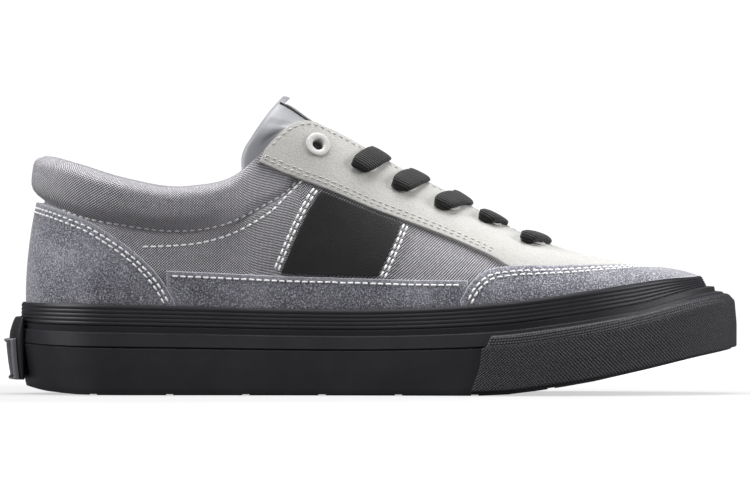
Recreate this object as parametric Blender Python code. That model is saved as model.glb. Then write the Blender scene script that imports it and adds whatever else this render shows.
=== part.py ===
"""Low skateboarding shoe, right foot: a vulcanised sole, a hollow laced upper with suede and
leather panels, a padded tongue and flat laces. Metres, +Z up, +X to the toe, +Y to the inner
(medial) side. The origin is on the floor, under the heel."""

import math

import bmesh
import bpy
import numpy as np
from mathutils import Matrix, Vector

# Driving sizes of the sole
SOLE_LENGTH = 0.2915
HEEL_WIDTH = 0.0780
BALL_WIDTH = 0.1050
TOE_ROUND = 0.0780
ORIGIN_FROM_HEEL = 0.0465
TOE_SPRING = 0.0178
HEEL_LIFT = 0.0030
FOXING_HEIGHT = 0.0350
FOXING_TOE_HEIGHT = 0.0480
FOXING_EDGE = 0.0009
FOXING_BASE = 0.0045
HEEL_LEAN = 0.0016
SIDE_LEAN = 0.0030
TOE_LEAN = 0.0129
HEEL_UNDERCUT = 0.0032
GROOVE_DEPTH = 0.0007
RIB_HEIGHT = 0.0004
OUTSOLE_THICKNESS = 0.0085
OUTSOLE_PROUD = 0.0005
LUG_DEPTH = 0.0018
LUG_GROOVE = 0.0030
LUG_PITCH = 0.0310
BUMPER_THICKNESS = 0.0012
INSOLE_HEEL = 0.0100
INSOLE_TOE = 0.0055
INSOLE_CUP = 0.0035

# Driving sizes of the upper
INSTEP_HEIGHT = 0.1110
COLLAR_BACK_HEIGHT = 0.0967
COLLAR_DIP_HEIGHT = 0.0846
VAMP_HEIGHT = 0.0575
UPPER_WALL = 0.0020
COLLAR_DEPTH = 0.0185
COLLAR_PUFF = 0.0042
COLLAR_PADDING = 0.0050
OVERLAY = 0.0011
TUCK = 0.0012
SEAT_GAP = 0.0003
OVERLAY_GAP = 0.0004
EYESTAY_GAP = 0.0007
COLLAR_SEAM_GAP = 0.0012
PANEL_NARROW = 0.0015
PANEL_GAP = 0.0006
STRIP_SETBACK = 0.00175
MUDGUARD_TOE_DROP = 0.0200

# Driving sizes of the tongue, laces and eyelets
TONGUE_OVERHANG = 0.0112
TONGUE_THICKNESS = 0.0050
TONGUE_TUCK = 0.0150
TONGUE_CLEARANCE = 0.0008
LABEL_LENGTH = 0.0230
LABEL_WIDTH = 0.0240
LABEL_THICKNESS = 0.0007
LACE_WIDTH = 0.0095
LACE_THICKNESS = 0.0018
LACE_LEAN = 0.0050
LACE_CREST = 0.0010
LACE_TIP = 0.0055
EYELET_HOLE = 0.0025
EYELET_FLANGE = 0.0051
EYELET_HEIGHT = 0.0006
EYELET_SETBACK = 0.0105
EYELET_CUT = 0.0045

# Driving sizes of the heel strip and patch
STRIP_WIDTH = 0.0420
STRIP_THICKNESS = 0.0032
PATCH_WIDTH = 0.0380
PATCH_THICKNESS = 0.0020

# Mesh density
STATIONS = 60
PROFILE_SAMPLES = 40
EYELET_SIDES = 8


def named_table(names, rows):
    """A table as a dictionary of columns, one for each name."""
    columns = np.array(rows, float).T
    return dict(zip(names.split(), columns))


def read(table, column, at):
    """The column's smooth value at a place, given in the table's first column."""
    places = table["along"]
    values = table[column]
    at = np.clip(np.asarray(at, float), places[0], places[-1])
    slopes = np.gradient(values, places)
    i = np.clip(np.searchsorted(places, at, side="right") - 1, 0, len(places) - 2)
    width = places[i + 1] - places[i]
    t = (at - places[i]) / width
    return (
        values[i] * (1 + 2 * t) * (1 - t) ** 2
        + values[i + 1] * t**2 * (3 - 2 * t)
        + width * (slopes[i] * t * (1 - t) ** 2 - slopes[i + 1] * t**2 * (1 - t))
    )


def smooth_step(low, high, at):
    t = np.clip((np.asarray(at, float) - low) / (high - low), 0, 1)
    return t * t * (3 - 2 * t)


# Plan of the sole: side shift as a share of the ball width, and the half width as a
# mix from the heel width (0) to the ball width (1)
PLAN = named_table(
    "along shift fullness",
    [
        (0.00, 0.000, 0.00),
        (0.17, 0.000, 0.00),
        (0.31, -0.016, -0.03),
        (0.42, -0.032, 0.02),
        (0.52, -0.032, 0.30),
        (0.63, -0.022, 0.78),
        (0.71, -0.008, 1.00),
        (0.80, 0.010, 1.00),
        (0.90, 0.034, 0.95),
        (1.00, 0.058, 0.95),
    ],
)

# Underside of the sole, as shares of the heel lift and of the toe spring
GROUND = named_table(
    "along heel toe",
    [
        (0.00, 1.00, 0.00),
        (0.03, 0.42, 0.00),
        (0.07, 0.12, 0.00),
        (0.12, 0.00, 0.00),
        (0.40, 0.00, 0.00),
        (0.64, 0.00, 0.00),
        (0.69, 0.00, 0.04),
        (0.74, 0.00, 0.15),
        (0.79, 0.00, 0.27),
        (0.87, 0.00, 0.54),
        (0.95, 0.00, 0.84),
        (1.00, 0.00, 1.00),
    ],
)

# Top edge of the foxing: share of the way from its mid height up to its toe height
RIM = named_table(
    "along rise",
    [
        (0.00, 0.19),
        (0.12, 0.15),
        (0.24, 0.09),
        (0.38, 0.01),
        (0.50, 0.00),
        (0.60, 0.09),
        (0.68, 0.23),
        (0.76, 0.45),
        (0.84, 0.71),
        (0.92, 0.93),
        (1.00, 1.00),
    ],
)

# Inward lean of the foxing's top edge, as shares of the heel, side and toe leans
LEAN = named_table(
    "along heel side toe",
    [
        (0.00, 1.00, 0.00, 0.00),
        (0.10, 0.20, 0.80, 0.00),
        (0.20, 0.00, 1.00, 0.00),
        (0.60, 0.00, 1.00, 0.00),
        (0.80, 0.00, 0.95, 0.10),
        (0.92, 0.00, 0.50, 0.50),
        (1.00, 0.00, 0.00, 1.00),
    ],
)

# Outer face of the foxing from the floor up: height share at the sides and at the toe,
# share of the lean, share of the heel undercut, groove and rib shares
BANDS = named_table(
    "side toe lean undercut groove rib",
    [
        (0.000, 0.000, 0.06, 1.00, 0.0, 0.0),
        (0.045, 0.045, 0.00, 0.90, 0.0, 0.0),
        (0.300, 0.350, 0.00, 0.40, 0.0, 0.0),
        (0.505, 0.640, 0.06, 0.00, 0.0, 0.0),
        (0.520, 0.655, 0.07, 0.00, 1.0, 0.0),
        (0.535, 0.670, 0.08, 0.00, 0.0, 0.0),
        (0.675, 0.785, 0.33, 0.00, 0.0, 0.0),
        (0.690, 0.795, 0.52, 0.00, 0.6, 0.0),
        (0.750, 0.855, 0.58, 0.00, 0.0, 0.0),
        (0.762, 0.862, 0.84, 0.00, 0.6, 0.0),
        (0.820, 0.900, 0.88, 0.00, 0.0, 1.0),
        (0.875, 0.930, 0.92, 0.00, 0.0, 0.0),
        (0.940, 0.965, 0.95, 0.00, 0.0, 1.0),
        (1.000, 1.000, 1.00, 0.00, 0.0, 0.0),
    ],
)

# Profiles of the upper, one row for each place along the sole's outline: where the
# profile ends along the shoe, its height there, its distance from the middle as a share
# of the sole's half width, its side shift as a share of the ball width, and the two handles that bend it
# (share of the run, of the spread and of the rise)
PROFILES = named_table(
    "along top height reach ridge run_low spread_low rise_low run_high spread_high rise_high",
    [
        (0.00, 0.050, COLLAR_BACK_HEIGHT, 0.74, 0.000, -0.06, 1.05, 0.33, 0.36, 1.05, 0.74),
        (0.06, 0.089, 0.964 * COLLAR_BACK_HEIGHT, 0.76, 0.000, -0.04, 1.06, 0.33, 0.38, 1.05, 0.74),
        (0.14, 0.151, 0.907 * COLLAR_BACK_HEIGHT, 0.80, 0.000, 0.00, 1.08, 0.34, 0.60, 1.05, 0.75),
        (0.24, 0.238, COLLAR_DIP_HEIGHT, 0.85, 0.000, 0.20, 1.10, 0.36, 0.80, 1.07, 0.76),
        (0.30, 0.300, 1.048 * COLLAR_DIP_HEIGHT, 0.84, 0.000, 0.20, 1.10, 0.38, 0.80, 1.08, 0.78),
        (0.34, 0.337, 1.150 * COLLAR_DIP_HEIGHT, 0.76, 0.000, 0.20, 1.10, 0.38, 0.80, 1.12, 0.80),
        (0.37, 0.358, 0.935 * INSTEP_HEIGHT, 0.69, 0.000, 0.20, 1.10, 0.38, 0.75, 1.18, 0.82),
        (0.40, 0.381, 0.985 * INSTEP_HEIGHT, 0.62, 0.000, 0.20, 1.09, 0.38, 0.70, 1.26, 0.84),
        (0.43, 0.407, INSTEP_HEIGHT, 0.56, 0.000, 0.20, 1.08, 0.38, 0.70, 1.34, 0.85),
        (0.46, 0.436, 0.966 * INSTEP_HEIGHT, 0.50, 0.004, 0.20, 1.07, 0.38, 0.70, 1.45, 0.83),
        (0.52, 0.486, 0.892 * INSTEP_HEIGHT, 0.41, 0.010, 0.20, 1.05, 0.38, 0.70, 1.65, 0.81),
        (0.59, 0.541, 0.808 * INSTEP_HEIGHT, 0.33, 0.017, 0.20, 1.03, 0.40, 0.70, 1.85, 0.79),
        (0.67, 0.598, 0.731 * INSTEP_HEIGHT, 0.27, 0.025, 0.20, 1.01, 0.42, 0.66, 2.00, 0.78),
        (0.76, 0.650, 1.245 * VAMP_HEIGHT, 0.24, 0.032, 0.18, 0.99, 0.46, 0.62, 2.05, 0.75),
        (0.85, 0.695, 1.125 * VAMP_HEIGHT, 0.21, 0.042, 0.18, 0.97, 0.50, 0.62, 2.10, 0.64),
        (0.93, 0.724, 1.035 * VAMP_HEIGHT, 0.20, 0.050, 0.20, 0.96, 0.52, 0.64, 2.20, 0.45),
        (1.00, 0.740, VAMP_HEIGHT, 0.20, 0.057, 0.22, 1.00, 0.48, 0.64, 2.60, 0.20),
    ],
)

# Collar roll: distance below the edge as a share of its depth, and the outer puff and
# inner padding as shares of their full values
ROLL = named_table(
    "along puff padding",
    [
        (0.000, 0.00, 0.00),
        (0.030, 0.50, 0.42),
        (0.100, 0.86, 0.74),
        (0.220, 1.00, 0.94),
        (0.450, 0.90, 1.00),
        (0.700, 0.66, 0.96),
        (0.900, 0.30, 0.86),
        (1.000, 0.00, 0.78),
        (1.500, 0.00, 0.40),
        (2.200, 0.00, 0.00),
    ],
)

def stations(count, low=0.0, high=1.0):
    """Turns round the outline, closer together at the heel and toe."""
    even = low + (high - low) * np.arange(count) / count
    return even + 0.35 * np.sin(4 * np.pi * even) / (4 * np.pi)


def along_of(turn):
    """Share of the sole's length at a turn round its outline: 0 at the heel, 0.5 at the toe."""
    return (1 - np.cos(2 * np.pi * np.asarray(turn, float))) / 2


def side_of(turn):
    """-1 on the outer (lateral) half of the outline, +1 on the inner (medial) half."""
    return np.where(np.mod(turn, 1.0) < 0.5, -1.0, 1.0)


def turn_of(along, side):
    """The turn at which the outline is this far along, on one side."""
    turn = np.arccos(1 - 2 * np.asarray(along, float)) / (2 * np.pi)
    return turn if side < 0 else 1 - turn


def half_width(along):
    along = np.asarray(along, float)
    full = HEEL_WIDTH + (BALL_WIDTH - HEEL_WIDTH) * read(PLAN, "fullness", along)
    from_heel = np.clip(1 - along * SOLE_LENGTH / (HEEL_WIDTH / 2), 0, 1)
    from_toe = np.clip(1 - (1 - along) * SOLE_LENGTH / TOE_ROUND, 0, 1)
    return full / 2 * np.sqrt(1 - from_heel**2) * np.sqrt(1 - from_toe**2)


def outline(turn):
    """The foxing's widest outline, seen from above."""
    along = along_of(turn)
    x = along * SOLE_LENGTH - ORIGIN_FROM_HEEL
    y = BALL_WIDTH * read(PLAN, "shift", along) + side_of(turn) * half_width(along)
    return np.stack([x, y], axis=-1)


def outward(turn):
    """Unit vector out of the outline, seen from above."""
    step = 1e-3
    ahead = outline(np.asarray(turn) + step) - outline(np.asarray(turn) - step)
    normal = np.stack([ahead[..., 1], -ahead[..., 0]], axis=-1)
    return normal / np.linalg.norm(normal, axis=-1, keepdims=True)


def ground(along):
    """Height of the foxing's lower edge."""
    heel = np.maximum(read(GROUND, "heel", along), 0)
    toe = np.maximum(read(GROUND, "toe", along), 0)
    return OUTSOLE_PROUD + HEEL_LIFT * heel + TOE_SPRING * toe


def rim(along):
    """Height of the foxing's top edge."""
    return FOXING_HEIGHT + (FOXING_TOE_HEIGHT - FOXING_HEIGHT) * read(RIM, "rise", along)


def lean(along):
    """How far the foxing's top edge leans in from its widest outline."""
    return (
        HEEL_LEAN * read(LEAN, "heel", along)
        + SIDE_LEAN * read(LEAN, "side", along)
        + TOE_LEAN * read(LEAN, "toe", along)
    )


def feather(turn, inset=0.0):
    """Where the upper's outer face goes down inside the foxing, seen from above."""
    pocket = 2 * SEAT_GAP + OVERLAY + OVERLAY_GAP + FOXING_EDGE
    away = lean(along_of(turn)) + pocket + inset
    return outline(turn) - outward(turn) * np.asarray(away)[..., None]


def throat_middle(turn):
    """Side shift of the middle of the opening."""
    return BALL_WIDTH * read(PROFILES, "ridge", along_of(turn))


def profile(turn):
    """The four control points of the upper's profile at each turn."""
    along = along_of(turn)
    foot = feather(turn)
    low = np.column_stack([foot, rim(along) - TUCK])
    middle = throat_middle(turn)
    reach = side_of(turn) * half_width(along) * read(PROFILES, "reach", along)
    top = np.column_stack(
        [
            read(PROFILES, "top", along) * SOLE_LENGTH - ORIGIN_FROM_HEEL,
            middle + reach,
            read(PROFILES, "height", along),
        ]
    )
    handles = []
    for end, anchor in (("low", low), ("high", top)):
        run = read(PROFILES, "run_" + end, along)
        rise = read(PROFILES, "rise_" + end, along)
        spread = read(PROFILES, "spread_" + end, along)
        handle = low + (top - low) * np.column_stack([run, run, rise])
        handle[:, 1] = middle + (anchor[:, 1] - middle) * spread
        handles.append(handle)
    return low, handles[0], handles[1], top


def profile_paths(turn):
    """Points down each profile from the top edge, and the distance reached at each."""
    low, first, second, top = profile(turn)
    t = np.linspace(0, 1, PROFILE_SAMPLES)[None, :, None]
    path = (
        top[:, None] * (1 - t) ** 3
        + 3 * second[:, None] * t * (1 - t) ** 2
        + 3 * first[:, None] * t**2 * (1 - t)
        + low[:, None] * t**3
    )
    steps = np.linalg.norm(np.diff(path, axis=1), axis=2)
    reached = np.concatenate([np.zeros((len(turn), 1)), np.cumsum(steps, axis=1)], axis=1)
    return path, reached


def skin(turn, drop):
    """Points of the upper's outer face, a distance down the profile from its top edge."""
    turn = np.atleast_1d(np.asarray(turn, float))
    drop = np.broadcast_to(np.asarray(drop, float), turn.shape)
    path, reached = profile_paths(turn)
    row = np.arange(len(turn))
    i = np.clip((reached <= drop[:, None]).sum(axis=1) - 1, 0, PROFILE_SAMPLES - 2)
    t = (drop - reached[row, i]) / (reached[row, i + 1] - reached[row, i])
    return path[row, i] + (path[row, i + 1] - path[row, i]) * t[:, None]


def profile_length(turn):
    """Length of each profile, from its top edge down to where the foxing hides it."""
    return profile_paths(np.atleast_1d(np.asarray(turn, float)))[1][:, -1]


def skin_normal(turn, drop):
    turn = np.atleast_1d(np.asarray(turn, float))
    drop = np.broadcast_to(np.asarray(drop, float), turn.shape)
    step = 0.0015
    length = profile_length(turn)
    high = np.maximum(drop - step, 0.0)
    low = np.minimum(drop + step, length)
    down = skin(turn, low) - skin(turn, high)
    round_step = 2e-3
    share = drop / length
    ahead_turn, behind_turn = turn + round_step, turn - round_step
    ahead = skin(ahead_turn, share * profile_length(ahead_turn))
    behind = skin(behind_turn, share * profile_length(behind_turn))
    normal = np.cross(down, ahead - behind)
    return normal / np.linalg.norm(normal, axis=1, keepdims=True)


def collar_share(turn):
    """1 round the ankle collar, 0 along the throat."""
    return 1 - smooth_step(0.27, 0.345, read(PROFILES, "top", along_of(turn)))


def puff(turn, drop):
    share = np.asarray(drop) / COLLAR_DEPTH
    roll = np.where(share < 1, np.maximum(read(ROLL, "puff", share), 0), 0)
    return COLLAR_PUFF * collar_share(turn) * roll


def wall(turn, drop):
    """Thickness of the upper inward from its skin: padded at the collar."""
    share = np.asarray(drop) / COLLAR_DEPTH
    padding = COLLAR_PADDING * read(ROLL, "padding", share)
    edge = np.sqrt(np.clip(np.asarray(drop) / UPPER_WALL, 0, 1))
    return UPPER_WALL * edge + collar_share(turn) * padding


def raised(turn, drop, out=0.0):
    """A point a distance out from the upper's face."""
    away = puff(turn, drop) + out
    return skin(turn, drop) + skin_normal(turn, drop) * np.asarray(away)[..., None]


def inner(turn, drop, gap=0.0):
    """A point of the upper's inner face, or a gap further in."""
    away = wall(turn, drop) + gap
    return skin(turn, drop) - skin_normal(turn, drop) * np.asarray(away)[..., None]


def on_side(x_share, height, side):
    """The turns and drops at which the skin has these places and heights, seen from the side."""
    wanted = np.atleast_1d(np.asarray(x_share, float)) * SOLE_LENGTH - ORIGIN_FROM_HEEL
    height = np.atleast_1d(np.asarray(height, float))
    along = np.atleast_1d(np.asarray(x_share, float)).copy()
    share = np.full(len(along), 0.5)
    for _ in range(40):
        turn = turn_of(np.clip(along, 0.001, 0.999), side)
        length = profile_length(turn)
        point = skin(turn, share * length)
        along += 0.7 * (wanted - point[:, 0]) / SOLE_LENGTH
        share = np.clip(share - 0.7 * (height - point[:, 2]) / length, 0.0, 1.0)
    return np.stack([turn, share * length], axis=1)


def plain_material(name, colour, roughness, metallic=0.0):
    material = bpy.data.materials.new(name)
    material.use_nodes = True
    shader = material.node_tree.nodes["Principled BSDF"]
    shader.inputs["Base Color"].default_value = (*colour, 1.0)
    shader.inputs["Roughness"].default_value = roughness
    shader.inputs["Metallic"].default_value = metallic
    return material


def mesh_object(name, points, faces, material):
    mesh = bpy.data.meshes.new(name)
    mesh.from_pydata([tuple(p) for p in points], [], faces)
    shell = bmesh.new()
    shell.from_mesh(mesh)
    bmesh.ops.recalc_face_normals(shell, faces=shell.faces)
    shell.to_mesh(mesh)
    shell.free()
    if material:
        mesh.materials.append(material)
    obj = bpy.data.objects.new(name, mesh)
    bpy.context.scene.collection.objects.link(obj)
    mesh.shade_smooth()
    mesh.set_sharp_from_angle(angle=math.radians(40))
    return obj


def ring_solid(name, sections, material):
    """A closed solid from sections that follow each other round a loop."""
    around, across = len(sections), len(sections[0])
    points = np.concatenate(sections)
    faces = []
    for i in range(around):
        for j in range(across):
            a, b = i * across + j, i * across + (j + 1) % across
            c, d = (i + 1) % around * across + (j + 1) % across, (i + 1) % around * across + j
            faces.append((a, d, c, b))
    return mesh_object(name, points, faces, material)


def loft_solid(name, sections, material):
    """A closed solid from closed sections in a row, capped at both ends."""
    rows, across = len(sections), len(sections[0])
    points = np.concatenate(sections)
    faces = [tuple(range(across)), tuple((rows - 1) * across + j for j in reversed(range(across)))]
    for i in range(rows - 1):
        for j in range(across):
            a, b = i * across + j, i * across + (j + 1) % across
            faces.append((a, a + across, b + across, b))
    return mesh_object(name, points, faces, material)


def slab_solid(name, outer, inside, material):
    """A closed solid between two matching grids of points."""
    rows, columns = outer.shape[:2]
    points = np.concatenate([outer.reshape(-1, 3), inside.reshape(-1, 3)])
    under = rows * columns
    faces = []
    for i in range(rows - 1):
        for j in range(columns - 1):
            a = i * columns + j
            b, c, d = a + 1, a + columns + 1, a + columns
            faces.append((a, b, c, d))
            faces.append((under + d, under + c, under + b, under + a))
    border = [j for j in range(columns)]
    border += [i * columns + columns - 1 for i in range(1, rows)]
    border += [(rows - 1) * columns + j for j in reversed(range(columns - 1))]
    border += [i * columns for i in reversed(range(1, rows - 1))]
    for a, b in zip(border, border[1:] + border[:1]):
        faces.append((b, a, under + a, under + b))
    return mesh_object(name, points, faces, material)


def panel(name, lower, upper, rows, material, thickness=OVERLAY, lift=OVERLAY_GAP):
    """An overlay cut from the upper's own face, between two edges given as turns and drops."""
    lower, upper = np.array(lower, float), np.array(upper, float)
    outer, inside = [], []
    for share in np.linspace(0, 1, rows):
        edge = lower + (upper - lower) * share
        outer.append(raised(edge[:, 0], edge[:, 1], lift + thickness))
        inside.append(raised(edge[:, 0], edge[:, 1], lift))
    return slab_solid(name, np.array(outer), np.array(inside), material)


def smooth_path(points, at):
    """The smooth curve through the points at distances along them."""
    points = np.array(points, float)
    steps = np.linalg.norm(np.diff(points, axis=0), axis=1)
    reached = np.concatenate([[0], np.cumsum(steps)])
    at = np.asarray(at, float) * reached[-1]
    slopes = np.gradient(points, reached, axis=0)
    i = np.clip(np.searchsorted(reached, at, side="right") - 1, 0, len(points) - 2)
    width = (reached[i + 1] - reached[i])[:, None]
    t = (at - reached[i])[:, None] / width
    return (
        points[i] * (1 + 2 * t) * (1 - t) ** 2
        + points[i + 1] * t**2 * (3 - 2 * t)
        + width * (slopes[i] * t * (1 - t) ** 2 - slopes[i + 1] * t**2 * (1 - t))
    )


def resample(points, count):
    """Evenly spaced points on the smooth curve through the given ones."""
    return smooth_path(points, np.linspace(0, 1, count))


def resample_edge(edge, count):
    """Evenly spaced turns and drops along an edge that is given as turns and drops."""
    scale = np.array([2 * SOLE_LENGTH, 1.0])
    return resample(np.array(edge) * scale, count) / scale


def build_foxing(material):
    """The rubber wall round the sole, with its bands, grooves and ribs."""
    sections = []
    for turn in stations(STATIONS):
        along = float(along_of(turn))
        low, high = float(ground(along)), float(rim(along))
        base, normal = outline(turn), outward(turn)
        toe = float(smooth_step(0.86, 1.0, along))
        heel = 1 - float(smooth_step(0.0, 0.12, along))
        share = BANDS["side"] + (BANDS["toe"] - BANDS["side"]) * toe
        out = (
            RIB_HEIGHT * BANDS["rib"]
            - GROOVE_DEPTH * BANDS["groove"]
            - float(lean(along)) * BANDS["lean"]
            - HEEL_UNDERCUT * heel * BANDS["undercut"]
        )
        outer = [[*(base + normal * o), low + (high - low) * s] for o, s in zip(out, share)]
        pocket = feather(turn) + normal * (OVERLAY_GAP + OVERLAY + 2 * SEAT_GAP)
        shelf = low + OUTSOLE_THICKNESS
        foot = base - normal * (FOXING_BASE + HEEL_UNDERCUT * heel)
        inside = [[*pocket, high], [*pocket, shelf], [*foot, shelf], [*foot, low]]
        sections.append(np.array(outer + inside))
    return ring_solid("foxing", sections, material)


def build_outsole(material):
    """The rubber outsole inside the foxing, with its main tread grooves."""
    turns = stations(STATIONS)[1 : STATIONS // 2]
    top, bottom = [], []
    for along in along_of(turns):
        heel = 1 - float(smooth_step(0.0, 0.12, along))
        inset = FOXING_BASE + SEAT_GAP + HEEL_UNDERCUT * heel
        ends = []
        for side in (-1, 1):
            turn = turn_of(along, side)
            ends.append(outline(turn) - outward(turn) * inset)
        low = float(ground(along))
        row = [[*(ends[0] + (ends[1] - ends[0]) * share), 0.0] for share in (0.0, 0.5, 1.0)]
        top.append([[x, y, low + OUTSOLE_THICKNESS] for x, y, _ in row])
        bottom.append([[x, y, low - OUTSOLE_PROUD] for x, y, _ in row])
    outsole = slab_solid("outsole", np.array(top), np.array(bottom), material)
    count = int(0.84 * SOLE_LENGTH / LUG_PITCH)
    for number in range(count):
        x = ORIGIN_FROM_HEEL + (number - 1) * LUG_PITCH + LUG_PITCH / 2
        along = x / SOLE_LENGTH
        low, ahead = float(ground(along)), float(ground(along + 0.01))
        slope = math.atan2(ahead - low, 0.01 * SOLE_LENGTH)
        depth = LUG_DEPTH + OUTSOLE_PROUD
        size = Matrix.Diagonal((LUG_GROOVE, 2 * BALL_WIDTH, 2 * depth, 1.0))
        centre = Vector((x - ORIGIN_FROM_HEEL, 0.0, low - OUTSOLE_PROUD))
        place = Matrix.Translation(centre) @ Matrix.Rotation(-slope, 4, "Y") @ size
        corners = [
            [place @ Vector((a, b, c)) for a, b in ((-0.5, -0.5), (0.5, -0.5), (0.5, 0.5), (-0.5, 0.5))]
            for c in (-0.5, 0.5)
        ]
        cutter = loft_solid("groove_%d" % number, [np.array(ring) for ring in corners], None)
        cutter.hide_render = True
        cutter.display_type = "WIRE"
        groove = outsole.modifiers.new(cutter.name, "BOOLEAN")
        groove.operation = "DIFFERENCE"
        groove.solver = "EXACT"
        groove.object = cutter


def build_insole(material):
    """The footbed: thicker and cupped at the heel."""
    edge = UPPER_WALL + 2 * OVERLAY_GAP
    top, bottom = [], []
    turns = stations(STATIONS)
    for along in along_of(turns[2 : STATIONS // 2 - 1 : 2]):
        ends = [feather(turn_of(along, side), edge) for side in (-1, 1)]
        thick = INSOLE_HEEL + (INSOLE_TOE - INSOLE_HEEL) * float(smooth_step(0.25, 0.7, along))
        cup = INSOLE_CUP * (1 - float(smooth_step(0.3, 0.6, along)))
        low = float(ground(along)) + OUTSOLE_THICKNESS + SEAT_GAP
        top_row, bottom_row = [], []
        for share in (0.0, 0.08, 0.25, 0.5, 0.75, 0.92, 1.0):
            x, y = ends[0] + (ends[1] - ends[0]) * share
            raise_edge = cup * abs(2 * share - 1) ** 3
            top_row.append([x, y, low + thick + raise_edge])
            bottom_row.append([x, y, low])
        top.append(top_row)
        bottom.append(bottom_row)
    return slab_solid("insole", np.array(top), np.array(bottom), material)


def build_upper(material):
    """The hollow upper: one wall round the foot, rolled at the collar and open underneath."""
    near_edge = np.array([0.0, 0.03, 0.10, 0.22, 0.45, 0.70, 0.90, 1.0]) * COLLAR_DEPTH
    inner_edge = np.array([0.03, 0.10, 0.30, 0.65, 1.0, 1.5]) * COLLAR_DEPTH
    turns = stations(STATIONS)
    lengths = profile_length(turns)
    outer_rows, inner_rows = [], []
    for drop in near_edge:
        outer_rows.append(raised(turns, np.full(STATIONS, drop)))
    for share in (0.18, 0.36, 0.55, 0.75, 1.0):
        drop = near_edge[-1] + (lengths - near_edge[-1]) * share
        outer_rows.append(raised(turns, drop))
    for drop in inner_edge:
        inner_rows.append(inner(turns, np.full(STATIONS, drop)))
    for share in (0.35, 0.70, 0.95):
        drop = inner_edge[-1] + (lengths - inner_edge[-1]) * share
        inner_rows.append(inner(turns, drop))
    floor = ground(along_of(turns)) + OUTSOLE_THICKNESS + SEAT_GAP
    outer_rows.append(np.column_stack([feather(turns), floor]))
    inner_foot = feather(turns, UPPER_WALL)
    shoulder = np.minimum(floor + 0.5 * (rim(along_of(turns)) - floor), inner_rows[-1][:, 2] - UPPER_WALL)
    inner_rows.append(np.column_stack([inner_foot, shoulder]))
    inner_rows.append(np.column_stack([inner_foot, floor]))
    rows = np.array(outer_rows + inner_rows[::-1])
    sections = [rows[::-1, i] for i in range(STATIONS)]
    return ring_solid("upper", sections, material)


def throat_turn(x_share, side):
    """The turn at which the upper's top edge is this far along the shoe."""
    low, high = 0.0, 1.0
    for _ in range(50):
        middle = (low + high) / 2
        if float(read(PROFILES, "top", middle)) < x_share:
            low = middle
        else:
            high = middle
    return float(turn_of((low + high) / 2, side))


# Edges of the panels as seen from the side: place along the shoe and height, as shares
# of the sole's length and of the instep height
COUNTER_EDGE = named_table(
    "along height",
    [
        (0.055, 0.683),
        (0.108, 0.625),
        (0.150, 0.552),
        (0.185, 0.475),
        (0.208, 0.400),
        (0.221, 0.338),
    ],
)
SIDE_STRIP_EDGE = named_table(
    "along height",
    [
        (0.209, 0.456),
        (0.270, 0.449),
        (0.365, 0.437),
        (0.480, 0.428),
        (0.560, 0.421),
        (0.628, 0.419),
    ],
)
MUDGUARD_EDGE = named_table(
    "along height",
    [
        (0.618, 0.345),
        (0.630, 0.400),
        (0.645, 0.440),
        (0.668, 0.462),
        (0.700, 0.466),
        (0.745, 0.464),
    ],
)
EYESTAY_EDGE = named_table(
    "along height",
    [
        (0.337, 0.850),
        (0.375, 0.808),
        (0.440, 0.741),
        (0.492, 0.681),
        (0.555, 0.618),
        (0.620, 0.550),
        (0.662, 0.500),
    ],
)
SADDLE_FOOT = named_table(
    "along height",
    [(0.368, 0.446), (0.412, 0.441), (0.458, 0.438), (0.503, 0.435)],
)
SADDLE_HEAD = named_table(
    "along height",
    [(0.424, 0.744), (0.461, 0.704), (0.498, 0.664), (0.535, 0.627)],
)


def resolve(edge, side, count):
    """A panel edge as turns and drops on one side of the shoe."""
    seen = resample(np.column_stack([edge["along"] * SOLE_LENGTH, edge["height"] * INSTEP_HEIGHT]), count)
    return on_side(seen[:, 0] / SOLE_LENGTH, seen[:, 1], side)


def build_counter(material):
    """The suede piece round the heel, up to the collar seam."""
    halves = {}
    for side in (-1, 1):
        halves[side] = resolve(COUNTER_EDGE, side, 12)
    back = [[0.0, COLLAR_DEPTH + COLLAR_SEAM_GAP]]
    medial = halves[1][::-1].copy()
    medial[:, 0] -= 1.0
    through = resample_edge(np.concatenate([medial[::2], back, halves[-1][1::2]]), 25)
    upper_edge = np.column_stack([np.mod(through[:, 0], 1.0), through[:, 1]])
    lengths = profile_length(upper_edge[:, 0])
    lower_edge = np.column_stack([upper_edge[:, 0], lengths - SEAT_GAP])
    upper_edge[:, 1] = np.clip(upper_edge[:, 1], COLLAR_DEPTH + COLLAR_SEAM_GAP, lengths - PANEL_NARROW)
    return panel("heel_counter", lower_edge[::-1], upper_edge[::-1], 5, material)


def mudguard_edge():
    """Rear edge of the mudguard round the toe, as turns and drops."""
    lateral = resolve(MUDGUARD_EDGE, -1, 9)
    medial = resolve(MUDGUARD_EDGE, 1, 9)[::-1]
    toe_length = profile_length(np.array([0.5]))[0]
    middle = [[0.5, toe_length - MUDGUARD_TOE_DROP]]
    return resample_edge(np.concatenate([lateral, middle, medial]), 31)


def build_mudguard(material):
    upper_edge = mudguard_edge()
    lengths = profile_length(upper_edge[:, 0])
    lower_edge = np.column_stack([upper_edge[:, 0], lengths - SEAT_GAP])
    upper_edge[:, 1] = np.minimum(upper_edge[:, 1], lower_edge[:, 1] - PANEL_NARROW)
    return panel("mudguard", lower_edge[::-1], upper_edge[::-1], 4, material)


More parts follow.
